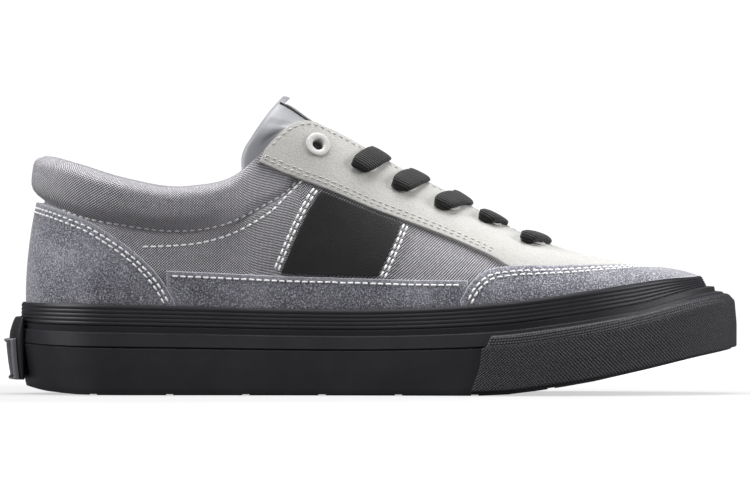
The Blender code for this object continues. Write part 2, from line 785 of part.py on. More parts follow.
def build_side_strip(name, side, material):
    """The low suede strip between counter and mudguard."""
    upper_edge = resolve(SIDE_STRIP_EDGE, side, 14)
    away = STRIP_SETBACK / SOLE_LENGTH
    counter_foot = COUNTER_EDGE["height"][-1] * INSTEP_HEIGHT
    mudguard_foot = MUDGUARD_EDGE["height"][0] * INSTEP_HEIGHT
    rear = on_side(COUNTER_EDGE["along"][-1] + away, counter_foot, side)[0]
    front = on_side(MUDGUARD_EDGE["along"][0] - away, mudguard_foot, side)[0]
    turns = np.linspace(rear[0], front[0], 14)
    lower_edge = np.column_stack([turns, profile_length(turns) - SEAT_GAP])
    edges = (lower_edge, upper_edge)
    if side < 0:
        edges = tuple(edge[::-1] for edge in edges)
    return panel(name, *edges, 3, material)


def build_eyestay(material):
    """The light suede vamp and eyestay in one piece, along the throat and over the toe."""
    front_cut = mudguard_edge()
    lateral = resolve(EYESTAY_EDGE, -1, 12)
    medial = resolve(EYESTAY_EDGE, 1, 12)[::-1]
    inside = (front_cut[:, 0] > lateral[-1, 0] + 0.004) & (front_cut[:, 0] < medial[0, 0] - 0.004)
    front = front_cut[inside]
    front[:, 1] -= PANEL_GAP
    lower_edge = np.concatenate([lateral, front, medial])
    tops = [throat_turn(0.345, -1), *lower_edge[1:-1, 0], throat_turn(0.345, 1)]
    upper_edge = np.column_stack([tops, np.full(len(tops), OVERLAY_GAP)])
    return panel("eyestay", lower_edge[::-1], upper_edge[::-1], 5, material, lift=EYESTAY_GAP)


def build_saddle(name, side, material):
    """The plain leather band from the eyestay down to the side strip."""
    foot = resolve(SADDLE_FOOT, side, 6)
    head = resolve(SADDLE_HEAD, side, 6)
    edges = (foot, head) if side > 0 else (foot[::-1], head[::-1])
    return panel(name, *edges, 6, material)


def edge_point(place, side, drop, gap):
    """A point inside the upper near its top edge, clear of the padding."""
    turn = np.array([throat_turn(place, side)])
    away = wall(turn, np.maximum(drop, 0.45 * COLLAR_DEPTH)) + gap
    return (skin(turn, drop) - skin_normal(turn, max(drop, 0.0)) * away[:, None])[0]


# Tongue sections from its sewn end up to its free edge: place of the middle, its height as
# shares of the vamp height, the instep height and the overhang, place of the side, how far
# the side reaches under the upper (high and low, as shares of the tuck), and how far back
# the section bows
TONGUE = named_table(
    "along middle vamp instep over side high low bow",
    [
        (0.00, 0.757, 0.894, 0.000, 0.00, 0.722, 0.40, 1.00, 0.0),
        (0.12, 0.705, 1.050, 0.000, 0.00, 0.682, 0.13, 1.00, 0.0),
        (0.26, 0.630, 0.000, 0.672, 0.00, 0.610, 0.13, 1.07, 0.0),
        (0.42, 0.550, 0.000, 0.788, 0.00, 0.530, 0.13, 1.07, 0.0),
        (0.58, 0.478, 0.000, 0.893, 0.00, 0.455, 0.13, 1.13, 0.1),
        (0.72, 0.434, 0.000, 0.966, 0.00, 0.400, 0.07, 1.20, 0.2),
        (0.86, 0.403, 0.000, 1.000, 0.40, 0.352, -0.20, 1.00, 0.4),
        (1.00, 0.373, 0.000, 1.000, 1.00, 0.314, -0.47, 0.40, 0.5),
    ],
)


def tongue_height(at):
    """Height of the tongue's middle at a share of its length."""
    foot = TONGUE["vamp"] * VAMP_HEIGHT + TONGUE["instep"] * INSTEP_HEIGHT
    heights = {"along": TONGUE["along"], "height": foot + TONGUE["over"] * TONGUE_OVERHANG}
    return float(read(heights, "height", at))


def tongue_row(at):
    """One row of points across the tongue's outer face, from the lateral side."""
    values = {name: float(read(TONGUE, name, at)) for name in TONGUE}
    middle = np.array(
        [
            values["middle"] * SOLE_LENGTH - ORIGIN_FROM_HEEL,
            float(throat_middle(throat_turn(min(max(values["middle"], 0.40), 0.739), -1))),
            tongue_height(at),
        ]
    )
    row = []
    top, bottom = values["high"] * TONGUE_TUCK, values["low"] * TONGUE_TUCK
    for side in (-1, 1):
        low, half, high = (
            edge_point(values["side"], side, drop, TONGUE_CLEARANCE)
            for drop in (bottom, (top + bottom) / 2, top)
        )
        run, rise, bow = middle[0] - high[0], middle[2] - high[2], values["bow"]
        spread = high[1] - middle[1]
        first = high + (run * (0.60 - 0.50 * bow), -spread * 0.04, rise * 0.60)
        second = middle + (0.0, spread * 0.52, 0.0)
        arch = [
            high * (1 - t) ** 3
            + 3 * first * t * (1 - t) ** 2
            + 3 * second * t**2 * (1 - t)
            + middle * t**3
            for t in (0.22, 0.46, 0.73)
        ]
        points = [low, half, high, *arch]
        row.append(points if side < 0 else points[::-1])
    return row[0] + [middle] + row[1]


def grid_normals(grid):
    """Unit normals of a grid of points."""
    across = np.gradient(grid, axis=1)
    along = np.gradient(grid, axis=0)
    normal = np.cross(across, along)
    normal /= np.linalg.norm(normal, axis=2, keepdims=True)
    return normal * np.sign(normal[..., 2].mean())


def build_tongue(material):
    """The padded tongue: under the eyestays, arched over the throat and free at the top."""
    grid = np.array([tongue_row(at) for at in np.linspace(0, 1, 13)])
    normal = grid_normals(grid)
    place = np.linspace(-1, 1, grid.shape[1])[None, :]
    rise = np.linspace(0, 1, grid.shape[0])[:, None]
    thick = TONGUE_THICKNESS * (0.35 + 0.65 * (1 - place**4)) * (0.45 + 0.55 * (1 - rise**8))
    inside = grid - normal * thick[..., None]
    return slab_solid("tongue", grid, inside, material)


def build_label(material):
    """The bare white label on the front of the tongue's top."""
    rows = []
    top, below = (tongue_row(at)[6] for at in (0.96, 0.60))
    span = LABEL_LENGTH * (0.96 - 0.60) / np.linalg.norm(top - below)
    for at in np.linspace(0.96 - span, 0.96, 5):
        row = np.array(tongue_row(at))
        length = np.linalg.norm(np.diff(row, axis=0), axis=1).sum()
        half = LABEL_WIDTH / length / 2
        rows.append(smooth_path(row, np.linspace(0.5 - half, 0.5 + half, 7)))
    grid = np.array(rows)
    normal = grid_normals(grid)
    lift = 2 * SEAT_GAP
    face = grid + normal * (lift + LABEL_THICKNESS)
    return slab_solid("tongue_label", face, grid + normal * lift, material)


# Eyelet pairs from the toe up: place along the throat edge, and distance back from it as
# a share of the eyelet setback
EYELETS = named_table(
    "place setback",
    [
        (0.672, 1.95),
        (0.639, 0.95),
        (0.586, 1.08),
        (0.532, 0.88),
        (0.480, 0.80),
        (0.413, 1.02),
    ],
)


def rise_under_ring(turn, drop, centre, normal):
    """How far the skin under an eyelet's flange stands above the skin at its middle."""
    step = 1e-3
    speed = np.linalg.norm(skin(turn + step, drop)[0] - skin(turn - step, drop)[0]) / (2 * step)
    angles = np.linspace(0, 2 * np.pi, 2 * EYELET_SIDES, endpoint=False)
    turns = turn + EYELET_FLANGE * np.cos(angles) / speed
    rim_points = skin(turns, drop + EYELET_FLANGE * np.sin(angles))
    return max(float(((rim_points - centre) @ normal).max()), 0.0)


def eyelet_frames():
    """Seat, outward direction, turn and drop of each eyelet, in lateral and medial pairs."""
    frames = []
    for place, setback in zip(EYELETS["place"], EYELETS["setback"]):
        pair = []
        for side in (-1, 1):
            turn, drop = throat_turn(place, side), setback * EYELET_SETBACK
            centre, normal = skin(turn, drop)[0], skin_normal(turn, drop)[0]
            seat = centre + normal * rise_under_ring(turn, drop, centre, normal)
            pair.append((seat, normal, turn, drop))
        frames.append(pair)
    return frames


def turned_frame(centre, normal):
    """A matrix with its Z along a direction."""
    up = Vector(normal)
    matrix = up.to_track_quat("Z", "Y").to_matrix().to_4x4()
    matrix.translation = Vector(centre)
    return matrix


def build_eyelets(pairs, metal):
    """Flat coated rings on the eyestay, one round each hole."""
    lift = EYESTAY_GAP + OVERLAY + SEAT_GAP
    section = (
        (EYELET_FLANGE, lift),
        (EYELET_FLANGE - EYELET_HEIGHT, lift + EYELET_HEIGHT),
        (EYELET_HOLE + EYELET_HEIGHT / 2, lift + EYELET_HEIGHT),
        (EYELET_HOLE, lift),
    )
    for number, pair in enumerate(pairs, start=1):
        for word, (centre, normal, _, _) in zip(("lateral", "medial"), pair):
            matrix = turned_frame(centre, normal)
            sections = []
            for i in range(EYELET_SIDES):
                angle = 2 * math.pi * i / EYELET_SIDES
                ring = [matrix @ Vector((r * math.cos(angle), r * math.sin(angle), h)) for r, h in section]
                sections.append(np.array(ring))
            ring_solid("eyelet_%s_%d" % (word, number), sections, metal)


def cut_holes(pieces, pairs):
    """Cuts each eyelet's hole through the given pieces."""
    for number, pair in enumerate(pairs, start=1):
        for word, (centre, normal, _, _) in zip(("lateral", "medial"), pair):
            matrix = turned_frame(centre, normal)
            ends = []
            for height in (-EYELET_CUT, EYELET_CUT):
                ring = []
                for i in range(EYELET_SIDES):
                    angle = 2 * math.pi * (i + 0.5) / EYELET_SIDES
                    spot = (EYELET_HOLE * math.cos(angle), EYELET_HOLE * math.sin(angle), height)
                    ring.append(matrix @ Vector(spot))
                ends.append(np.array(ring))
            cutter = loft_solid("hole_%s_%d" % (word, number), ends, None)
            cutter.hide_render = True
            cutter.display_type = "WIRE"
            for piece in pieces:
                hole = piece.modifiers.new(cutter.name, "BOOLEAN")
                hole.operation = "DIFFERENCE"
                hole.solver = "EXACT"
                hole.object = cutter


def along_throat(turn, drop, side):
    """Unit vector along the upper, toward the toe, at a turn and drop."""
    step = -4e-3 * side
    vector = skin(turn + step, drop)[0] - skin(turn - step, drop)[0]
    return vector / np.linalg.norm(vector)


def build_laces(pairs, material):
    """The five flat lace bars, each over the throat between a pair of eyelets."""
    low = EYESTAY_GAP + OVERLAY + SEAT_GAP + LACE_THICKNESS / 2
    high = low + EYELET_HEIGHT + 3 * SEAT_GAP
    shape = ((-1, 0), (-0.72, 1), (0.72, 1), (1, 0), (0.72, -1), (-0.72, -1))
    for number, pair in enumerate(pairs[:-1], start=1):
        ends = []
        for side, (seat, upward, turn, drop) in zip((-1, 1), pair):
            place = (seat[0] + ORIGIN_FROM_HEEL) / SOLE_LENGTH
            lean_share = min(max((0.74 - place) / 0.10, 0.0), 1.0)
            edge = throat_turn(place + lean_share * LACE_LEAN / SOLE_LENGTH, side)
            clear = 1 - EYELET_FLANGE / drop
            bowed = low + 0.02 * drop
            half = []
            for share, lift in ((1.0, high), (clear, high), (clear / 2, (high + bowed) / 2), (0.04, bowed)):
                at = edge + (turn - edge) * share
                point = raised(at, drop * share, lift)[0]
                normal = skin_normal(at, drop * share)[0]
                if share >= clear:
                    point += upward * max(high - float((point - seat) @ upward), 0.0)
                    normal = upward
                half.append((point, normal, along_throat(at, drop * share, side)))
            ends.append(half)
        left, right = ends[0][-1], ends[1][-1]
        crest = np.array([LACE_CREST, 0.0, LACE_CREST])
        middles = []
        for t in (0.3, 0.7):
            point, normal, width = (a + (b - a) * t for a, b in zip(left, right))
            middles.append((point + crest * 4 * t * (1 - t), normal, width))
        path = ends[0] + middles + ends[1][::-1]
        sections = []
        for point, normal, width in path:
            width = width / np.linalg.norm(width)
            out = normal - width * np.dot(normal, width)
            out /= np.linalg.norm(out)
            ring = [point + width * LACE_WIDTH / 2 * a + out * LACE_THICKNESS / 2 * b for a, b in shape]
            sections.append(np.array(ring))
        for end, step in ((0, 1), (-1, -1)):
            centre = path[end][0]
            beyond = centre - path[end + step][0]
            beyond *= LACE_TIP / np.linalg.norm(beyond)
            tip = centre + beyond + (sections[end] - centre) * 0.55
            sections = [tip] + sections if end == 0 else sections + [tip]
        loft_solid("lace_%d" % number, sections, material)


def foxing_face(turn, row, out):
    """Points of the foxing's outer face at a row of its bands, a distance further out."""
    along = along_of(turn)
    toe = smooth_step(0.86, 1.0, along)
    heel = 1 - smooth_step(0.0, 0.12, along)
    low, high = ground(along), rim(along)
    band = {name: np.interp(row, np.arange(len(BANDS[name])), BANDS[name]) for name in BANDS}
    share = band["side"] + (band["toe"] - band["side"]) * toe
    away = out - lean(along) * band["lean"] - HEEL_UNDERCUT * heel * band["undercut"]
    plan = outline(turn) + outward(turn) * away[..., None]
    return np.column_stack([plan, low + (high - low) * share])


def build_bumper(material):
    """The raised strip round the toe, over the foxing's lower bands."""
    outer, inside = [], []
    rear_low, rear_high = 0.632, 0.660
    for row, share in ((0.6, 0.0), (1.0, 0.05), (2.0, 0.45), (5.0, 0.80), (5.8, 1.0)):
        rear = rear_low + (rear_high - rear_low) * share
        ends = turn_of(rear, -1), turn_of(rear, 1)
        turns = ends[0] + (ends[1] - ends[0]) * np.arange(25) / 24
        rounded = BUMPER_THICKNESS * (0.6 if share in (0.0, 1.0) else 1.0)
        outer.append(foxing_face(turns, row, OVERLAY_GAP + rounded))
        inside.append(foxing_face(turns, row, OVERLAY_GAP))
    return slab_solid("toe_bumper", np.array(outer), np.array(inside), material)


# Heel strip from the floor up: height as a share of the foxing height, and thickness share
STRIP = named_table(
    "along height thick",
    [
        (0.0, 0.17, 0.45),
        (0.3, 0.40, 0.85),
        (0.7, 0.70, 1.00),
        (1.0, 0.90, 0.35),
    ],
)


def strip_face(across, at, out):
    """A point of the heel strip's outer face, a distance further out."""
    turn = across * STRIP_WIDTH / (2 * np.pi * math.sqrt(SOLE_LENGTH * HEEL_WIDTH / 2))
    base = outline(turn)
    height = float(read(STRIP, "height", at)) * FOXING_HEIGHT
    lift = STRIP_THICKNESS * float(read(STRIP, "thick", at)) * (1 - 0.5 * abs(2 * across) ** 6)
    return np.array([*(base + outward(turn) * (lift + out)), height])


def build_heel_strip(material):
    """The rubber strip wrapped round the back of the foxing."""
    outer, inside = [], []
    for at in (0.0, 0.3, 0.7, 1.0):
        places = np.linspace(-0.5, 0.5, 11)
        outer.append([strip_face(a, at, OVERLAY_GAP) for a in places])
        height = float(read(STRIP, "height", at)) * FOXING_HEIGHT
        row = []
        for a in places:
            turn = a * STRIP_WIDTH / (2 * np.pi * math.sqrt(SOLE_LENGTH * HEEL_WIDTH / 2))
            row.append(np.array([*(outline(turn) + outward(turn) * OVERLAY_GAP), height]))
        inside.append(row)
    return slab_solid("heel_strip", np.array(outer), np.array(inside), material)


def build_patch(material):
    """The bare plate on the heel strip."""
    outer, inside = [], []
    for at in (0.0, 0.08, 0.30, 0.55, 0.63):
        places = np.linspace(-0.5, 0.5, 11) * PATCH_WIDTH / STRIP_WIDTH
        rounded = PATCH_THICKNESS * (0.6 if at in (0.0, 0.63) else 1.0)
        outer.append([strip_face(a, at, OVERLAY_GAP + SEAT_GAP + rounded) for a in places])
        inside.append([strip_face(a, at, OVERLAY_GAP + SEAT_GAP) for a in places])
    return slab_solid("heel_patch", np.array(outer), np.array(inside), material)


def build():
    for obj in list(bpy.data.objects):
        bpy.data.objects.remove(obj, do_unlink=True)
    rubber = plain_material("black_rubber", (0.026, 0.026, 0.029), 0.55)
    canvas = plain_material("grey_canvas", (0.21, 0.20, 0.22), 0.9)
    slate = plain_material("slate_suede", (0.16, 0.165, 0.19), 0.95)
    pale = plain_material("pale_suede", (0.66, 0.65, 0.63), 0.9)
    leather = plain_material("black_leather", (0.03, 0.03, 0.03), 0.5)
    foam = plain_material("footbed_foam", (0.12, 0.12, 0.13), 0.9)
    satin = plain_material("satin_tongue", (0.30, 0.31, 0.33), 0.5)
    white = plain_material("white_label", (0.85, 0.85, 0.85), 0.6)
    lace = plain_material("black_lace", (0.025, 0.024, 0.023), 0.85)
    metal = plain_material("coated_ring", (0.45, 0.45, 0.45), 0.45)
    build_foxing(rubber)
    build_bumper(rubber)
    build_heel_strip(rubber)
    build_patch(rubber)
    build_outsole(rubber)
    build_insole(foam)
    upper = build_upper(canvas)
    build_counter(slate)
    build_mudguard(slate)
    for side, word in ((-1, "lateral"), (1, "medial")):
        build_side_strip("side_strip_" + word, side, slate)
        build_saddle("saddle_" + word, side, leather)
    eyestay = build_eyestay(pale)
    pairs = eyelet_frames()
    cut_holes((upper, eyestay), pairs)
    build_eyelets(pairs, metal)
    build_laces(pairs, lace)
    build_tongue(satin)
    build_label(white)


build()
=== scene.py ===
"""A low skateboarding shoe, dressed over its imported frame: canvas and suede upper, padded
collar and tongue, cotton laces through coated eyelets, and a vulcanised rubber sole.
Metres, +Z up, +X to the toe. The shapes follow the same sizes and tables as the solids."""

import math
import random

import bmesh
import bpy
import numpy as np
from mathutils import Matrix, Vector


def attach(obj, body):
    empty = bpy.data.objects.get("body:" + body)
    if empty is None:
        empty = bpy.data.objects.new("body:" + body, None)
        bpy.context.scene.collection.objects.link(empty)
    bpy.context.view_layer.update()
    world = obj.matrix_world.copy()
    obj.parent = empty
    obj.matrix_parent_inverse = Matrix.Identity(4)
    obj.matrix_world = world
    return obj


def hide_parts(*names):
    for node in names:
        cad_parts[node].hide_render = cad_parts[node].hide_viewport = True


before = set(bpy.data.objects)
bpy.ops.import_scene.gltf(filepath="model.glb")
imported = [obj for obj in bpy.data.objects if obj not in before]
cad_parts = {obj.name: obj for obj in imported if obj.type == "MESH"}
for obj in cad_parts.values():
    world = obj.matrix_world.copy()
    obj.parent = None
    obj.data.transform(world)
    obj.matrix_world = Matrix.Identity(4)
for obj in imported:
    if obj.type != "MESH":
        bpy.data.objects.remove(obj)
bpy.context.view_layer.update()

# Mesh density of the dressed pieces
PROFILE_SAMPLES = 110
TURNS = 400

# Driving sizes of the sole
SOLE_LENGTH = 0.2915
HEEL_WIDTH = 0.0780
BALL_WIDTH = 0.1050
TOE_ROUND = 0.0780
ORIGIN_FROM_HEEL = 0.0465
TOE_SPRING = 0.0178
HEEL_LIFT = 0.0030
FOXING_HEIGHT = 0.0350
FOXING_TOE_HEIGHT = 0.0480
FOXING_EDGE = 0.0009
FOXING_BASE = 0.0045
HEEL_LEAN = 0.0016
SIDE_LEAN = 0.0030
TOE_LEAN = 0.0129
HEEL_UNDERCUT = 0.0032
GROOVE_DEPTH = 0.0007
OUTSOLE_THICKNESS = 0.0085
OUTSOLE_PROUD = 0.0005

BUMPER_THICKNESS = 0.0012
INSOLE_HEEL = 0.0100
INSOLE_TOE = 0.0055
INSOLE_CUP = 0.0035

# Driving sizes of the upper
INSTEP_HEIGHT = 0.1110
COLLAR_BACK_HEIGHT = 0.0967
COLLAR_DIP_HEIGHT = 0.0846
VAMP_HEIGHT = 0.0575
UPPER_WALL = 0.0020
COLLAR_DEPTH = 0.0185
COLLAR_PUFF = 0.0042
COLLAR_PADDING = 0.0050
OVERLAY = 0.0011
TUCK = 0.0012
SEAT_GAP = 0.0003
OVERLAY_GAP = 0.0004
EYESTAY_GAP = 0.0007
COLLAR_SEAM_GAP = 0.0012
PANEL_NARROW = 0.0015
PANEL_GAP = 0.0006
STRIP_SETBACK = 0.00175
MUDGUARD_TOE_DROP = 0.0200

# Driving sizes of the tongue, laces and eyelets
TONGUE_OVERHANG = 0.0112
TONGUE_THICKNESS = 0.0050
TONGUE_TUCK = 0.0150
TONGUE_CLEARANCE = 0.0008
LABEL_LENGTH = 0.0230
LABEL_WIDTH = 0.0240
LABEL_THICKNESS = 0.0007
LACE_WIDTH = 0.0095
LACE_THICKNESS = 0.0018
LACE_LEAN = 0.0050
EYELET_HOLE = 0.0025
EYELET_FLANGE = 0.0051
EYELET_HEIGHT = 0.0006
EYELET_SETBACK = 0.0105

# Driving sizes of the heel strip and patch
STRIP_WIDTH = 0.0420
STRIP_THICKNESS = 0.0032
PATCH_WIDTH = 0.0380
PATCH_THICKNESS = 0.0020

EYELET_SIDES = 8


def named_table(names, rows):
    """A table as a dictionary of columns, one for each name."""
    columns = np.array(rows, float).T
    return dict(zip(names.split(), columns))


def read(table, column, at):
    """The column's smooth value at a place, given in the table's first column."""
    places = table["along"]
    values = table[column]
    at = np.clip(np.asarray(at, float), places[0], places[-1])
    slopes = np.gradient(values, places)
    i = np.clip(np.searchsorted(places, at, side="right") - 1, 0, len(places) - 2)
    width = places[i + 1] - places[i]
    t = (at - places[i]) / width
    return (
        values[i] * (1 + 2 * t) * (1 - t) ** 2
        + values[i + 1] * t**2 * (3 - 2 * t)
        + width * (slopes[i] * t * (1 - t) ** 2 - slopes[i + 1] * t**2 * (1 - t))
    )


def smooth_step(low, high, at):
    """0 up to the low place, 1 from the high one, and eased between them."""
    t = np.clip((np.asarray(at, float) - low) / (high - low), 0, 1)
    return t * t * (3 - 2 * t)


# Plan of the sole: side shift as a share of the ball width, and the half width as a
# mix from the heel width (0) to the ball width (1)
PLAN = named_table(
    "along shift fullness",
    [
        (0.00, 0.000, 0.00),
        (0.17, 0.000, 0.00),
        (0.31, -0.016, -0.03),
        (0.42, -0.032, 0.02),
        (0.52, -0.032, 0.30),
        (0.63, -0.022, 0.78),
        (0.71, -0.008, 1.00),
        (0.80, 0.010, 1.00),
        (0.90, 0.034, 0.95),
        (1.00, 0.058, 0.95),
    ],
)

# Underside of the sole, as shares of the heel lift and of the toe spring
GROUND = named_table(
    "along heel toe",
    [
        (0.00, 1.00, 0.00),
        (0.03, 0.42, 0.00),
        (0.07, 0.12, 0.00),
        (0.12, 0.00, 0.00),
        (0.40, 0.00, 0.00),
        (0.64, 0.00, 0.00),
        (0.69, 0.00, 0.04),
        (0.74, 0.00, 0.15),
        (0.79, 0.00, 0.27),
        (0.87, 0.00, 0.54),
        (0.95, 0.00, 0.84),
        (1.00, 0.00, 1.00),
    ],
)

# Top edge of the foxing: share of the way from its mid height up to its toe height
RIM = named_table(
    "along rise",
    [
        (0.00, 0.19),
        (0.12, 0.15),
        (0.24, 0.09),
        (0.38, 0.01),
        (0.50, 0.00),
        (0.60, 0.09),
        (0.68, 0.23),
        (0.76, 0.45),
        (0.84, 0.71),
        (0.92, 0.93),
        (1.00, 1.00),
    ],
)

# Inward lean of the foxing's top edge, as shares of the heel, side and toe leans
LEAN = named_table(
    "along heel side toe",
    [
        (0.00, 1.00, 0.00, 0.00),
        (0.10, 0.20, 0.80, 0.00),
        (0.20, 0.00, 1.00, 0.00),
        (0.60, 0.00, 1.00, 0.00),
        (0.80, 0.00, 0.95, 0.10),
        (0.92, 0.00, 0.50, 0.50),
        (1.00, 0.00, 0.00, 1.00),
    ],
)

# Outer face of the foxing from the floor up: height share at the sides and at the toe,
# share of the lean, share of the heel undercut, and groove share
BANDS = named_table(
    "side toe lean undercut groove",
    [
        (0.000, 0.000, 0.06, 1.00, 0.0),
        (0.045, 0.045, 0.00, 0.90, 0.0),
        (0.300, 0.350, 0.00, 0.40, 0.0),
        (0.505, 0.640, 0.06, 0.00, 0.0),
        (0.520, 0.655, 0.07, 0.00, 1.0),
        (0.535, 0.670, 0.08, 0.00, 0.0),
        (0.675, 0.785, 0.33, 0.00, 0.0),
        (0.690, 0.795, 0.52, 0.00, 0.6),
        (0.750, 0.855, 0.58, 0.00, 0.0),
        (0.762, 0.862, 0.84, 0.00, 0.6),
        (0.820, 0.900, 0.88, 0.00, 0.0),
        (0.875, 0.930, 0.92, 0.00, 0.0),
        (0.940, 0.965, 0.95, 0.00, 0.0),
        (1.000, 1.000, 1.00, 0.00, 0.0),
    ],
)

# Profiles of the upper, one row for each place along the sole's outline: where the
# profile ends along the shoe, its height there, its distance from the middle as a share
# of the sole's half width, its side shift as a share of the ball width, and the two handles that bend it
# (share of the run, of the spread and of the rise)
PROFILES = named_table(
    "along top height reach ridge run_low spread_low rise_low run_high spread_high rise_high",
    [
        (0.00, 0.050, COLLAR_BACK_HEIGHT, 0.74, 0.000, -0.06, 1.05, 0.33, 0.36, 1.05, 0.74),
        (0.06, 0.089, 0.964 * COLLAR_BACK_HEIGHT, 0.76, 0.000, -0.04, 1.06, 0.33, 0.38, 1.05, 0.74),
        (0.14, 0.151, 0.907 * COLLAR_BACK_HEIGHT, 0.80, 0.000, 0.00, 1.08, 0.34, 0.60, 1.05, 0.75),
        (0.24, 0.238, COLLAR_DIP_HEIGHT, 0.85, 0.000, 0.20, 1.10, 0.36, 0.80, 1.07, 0.76),
        (0.30, 0.300, 1.048 * COLLAR_DIP_HEIGHT, 0.84, 0.000, 0.20, 1.10, 0.38, 0.80, 1.08, 0.78),
        (0.34, 0.337, 1.150 * COLLAR_DIP_HEIGHT, 0.76, 0.000, 0.20, 1.10, 0.38, 0.80, 1.12, 0.80),
        (0.37, 0.358, 0.935 * INSTEP_HEIGHT, 0.69, 0.000, 0.20, 1.10, 0.38, 0.75, 1.18, 0.82),
        (0.40, 0.381, 0.985 * INSTEP_HEIGHT, 0.62, 0.000, 0.20, 1.09, 0.38, 0.70, 1.26, 0.84),
        (0.43, 0.407, INSTEP_HEIGHT, 0.56, 0.000, 0.20, 1.08, 0.38, 0.70, 1.34, 0.85),
        (0.46, 0.436, 0.966 * INSTEP_HEIGHT, 0.50, 0.004, 0.20, 1.07, 0.38, 0.70, 1.45, 0.83),
        (0.52, 0.486, 0.892 * INSTEP_HEIGHT, 0.41, 0.010, 0.20, 1.05, 0.38, 0.70, 1.65, 0.81),
        (0.59, 0.541, 0.808 * INSTEP_HEIGHT, 0.33, 0.017, 0.20, 1.03, 0.40, 0.70, 1.85, 0.79),
        (0.67, 0.598, 0.731 * INSTEP_HEIGHT, 0.27, 0.025, 0.20, 1.01, 0.42, 0.66, 2.00, 0.78),
        (0.76, 0.650, 1.245 * VAMP_HEIGHT, 0.24, 0.032, 0.18, 0.99, 0.46, 0.62, 2.05, 0.75),
        (0.85, 0.695, 1.125 * VAMP_HEIGHT, 0.21, 0.042, 0.18, 0.97, 0.50, 0.62, 2.10, 0.64),
        (0.93, 0.724, 1.035 * VAMP_HEIGHT, 0.20, 0.050, 0.20, 0.96, 0.52, 0.64, 2.20, 0.45),
        (1.00, 0.740, VAMP_HEIGHT, 0.20, 0.057, 0.22, 1.00, 0.48, 0.64, 2.60, 0.20),
    ],
)

# Collar roll: distance below the edge as a share of its depth, and the outer puff and
# inner padding as shares of their full values
ROLL = named_table(
    "along puff padding",
    [
        (0.000, 0.00, 0.00),
        (0.030, 0.50, 0.42),
        (0.100, 0.86, 0.74),
        (0.220, 1.00, 0.94),
        (0.450, 0.90, 1.00),
        (0.700, 0.66, 0.96),
        (0.900, 0.30, 0.86),
        (1.000, 0.00, 0.78),
        (1.500, 0.00, 0.40),
        (2.200, 0.00, 0.00),
    ],
)


def along_of(turn):
    """Share of the sole's length at a turn round its outline: 0 at the heel, 0.5 at the toe."""
    return (1 - np.cos(2 * np.pi * np.asarray(turn, float))) / 2


def side_of(turn):
    """-1 on the outer (lateral) half of the outline, +1 on the inner (medial) half."""
    return np.where(np.mod(turn, 1.0) < 0.5, -1.0, 1.0)


def turn_of(along, side):
    """The turn at which the outline is this far along, on one side."""
    turn = np.arccos(1 - 2 * np.asarray(along, float)) / (2 * np.pi)
    return turn if side < 0 else 1 - turn


def half_width(along):
    """Half of the sole's width at a place along it."""
    along = np.asarray(along, float)
    full = HEEL_WIDTH + (BALL_WIDTH - HEEL_WIDTH) * read(PLAN, "fullness", along)
    from_heel = np.clip(1 - along * SOLE_LENGTH / (HEEL_WIDTH / 2), 0, 1)
    from_toe = np.clip(1 - (1 - along) * SOLE_LENGTH / TOE_ROUND, 0, 1)
    return full / 2 * np.sqrt(1 - from_heel**2) * np.sqrt(1 - from_toe**2)


def outline(turn):
    """The foxing's widest outline, seen from above."""
    along = along_of(turn)
    x = along * SOLE_LENGTH - ORIGIN_FROM_HEEL
    y = BALL_WIDTH * read(PLAN, "shift", along) + side_of(turn) * half_width(along)
    return np.stack([x, y], axis=-1)


def outward(turn):
    """Unit vector out of the outline, seen from above."""
    step = 1e-3
    ahead = outline(np.asarray(turn) + step) - outline(np.asarray(turn) - step)
    normal = np.stack([ahead[..., 1], -ahead[..., 0]], axis=-1)
    return normal / np.linalg.norm(normal, axis=-1, keepdims=True)


def ground(along):
    """Height of the foxing's lower edge."""
    heel = np.maximum(read(GROUND, "heel", along), 0)
    toe = np.maximum(read(GROUND, "toe", along), 0)
    return OUTSOLE_PROUD + HEEL_LIFT * heel + TOE_SPRING * toe


def rim(along):
    """Height of the foxing's top edge."""
    return FOXING_HEIGHT + (FOXING_TOE_HEIGHT - FOXING_HEIGHT) * read(RIM, "rise", along)


def lean(along):
    """How far the foxing's top edge leans in from its widest outline."""
    return (
        HEEL_LEAN * read(LEAN, "heel", along)
        + SIDE_LEAN * read(LEAN, "side", along)
        + TOE_LEAN * read(LEAN, "toe", along)
    )


def feather(turn, inset=0.0):
    """Where the upper's outer face goes down inside the foxing, seen from above."""
    pocket = 2 * SEAT_GAP + OVERLAY + OVERLAY_GAP + FOXING_EDGE
    away = lean(along_of(turn)) + pocket + inset
    return outline(turn) - outward(turn) * np.asarray(away)[..., None]


def throat_middle(turn):
    """Side shift of the middle of the opening."""
    return BALL_WIDTH * read(PROFILES, "ridge", along_of(turn))


def profile(turn):
    """The four control points of the upper's profile at each turn."""
    along = along_of(turn)
    foot = feather(turn)
    low = np.column_stack([foot, rim(along) - TUCK])
    middle = throat_middle(turn)
    reach = side_of(turn) * half_width(along) * read(PROFILES, "reach", along)
    top = np.column_stack(
        [
            read(PROFILES, "top", along) * SOLE_LENGTH - ORIGIN_FROM_HEEL,
            middle + reach,
            read(PROFILES, "height", along),
        ]
    )
    handles = []
    for end, anchor in (("low", low), ("high", top)):
        run = read(PROFILES, "run_" + end, along)
        rise = read(PROFILES, "rise_" + end, along)
        spread = read(PROFILES, "spread_" + end, along)
        handle = low + (top - low) * np.column_stack([run, run, rise])
        handle[:, 1] = middle + (anchor[:, 1] - middle) * spread
        handles.append(handle)
    return low, handles[0], handles[1], top


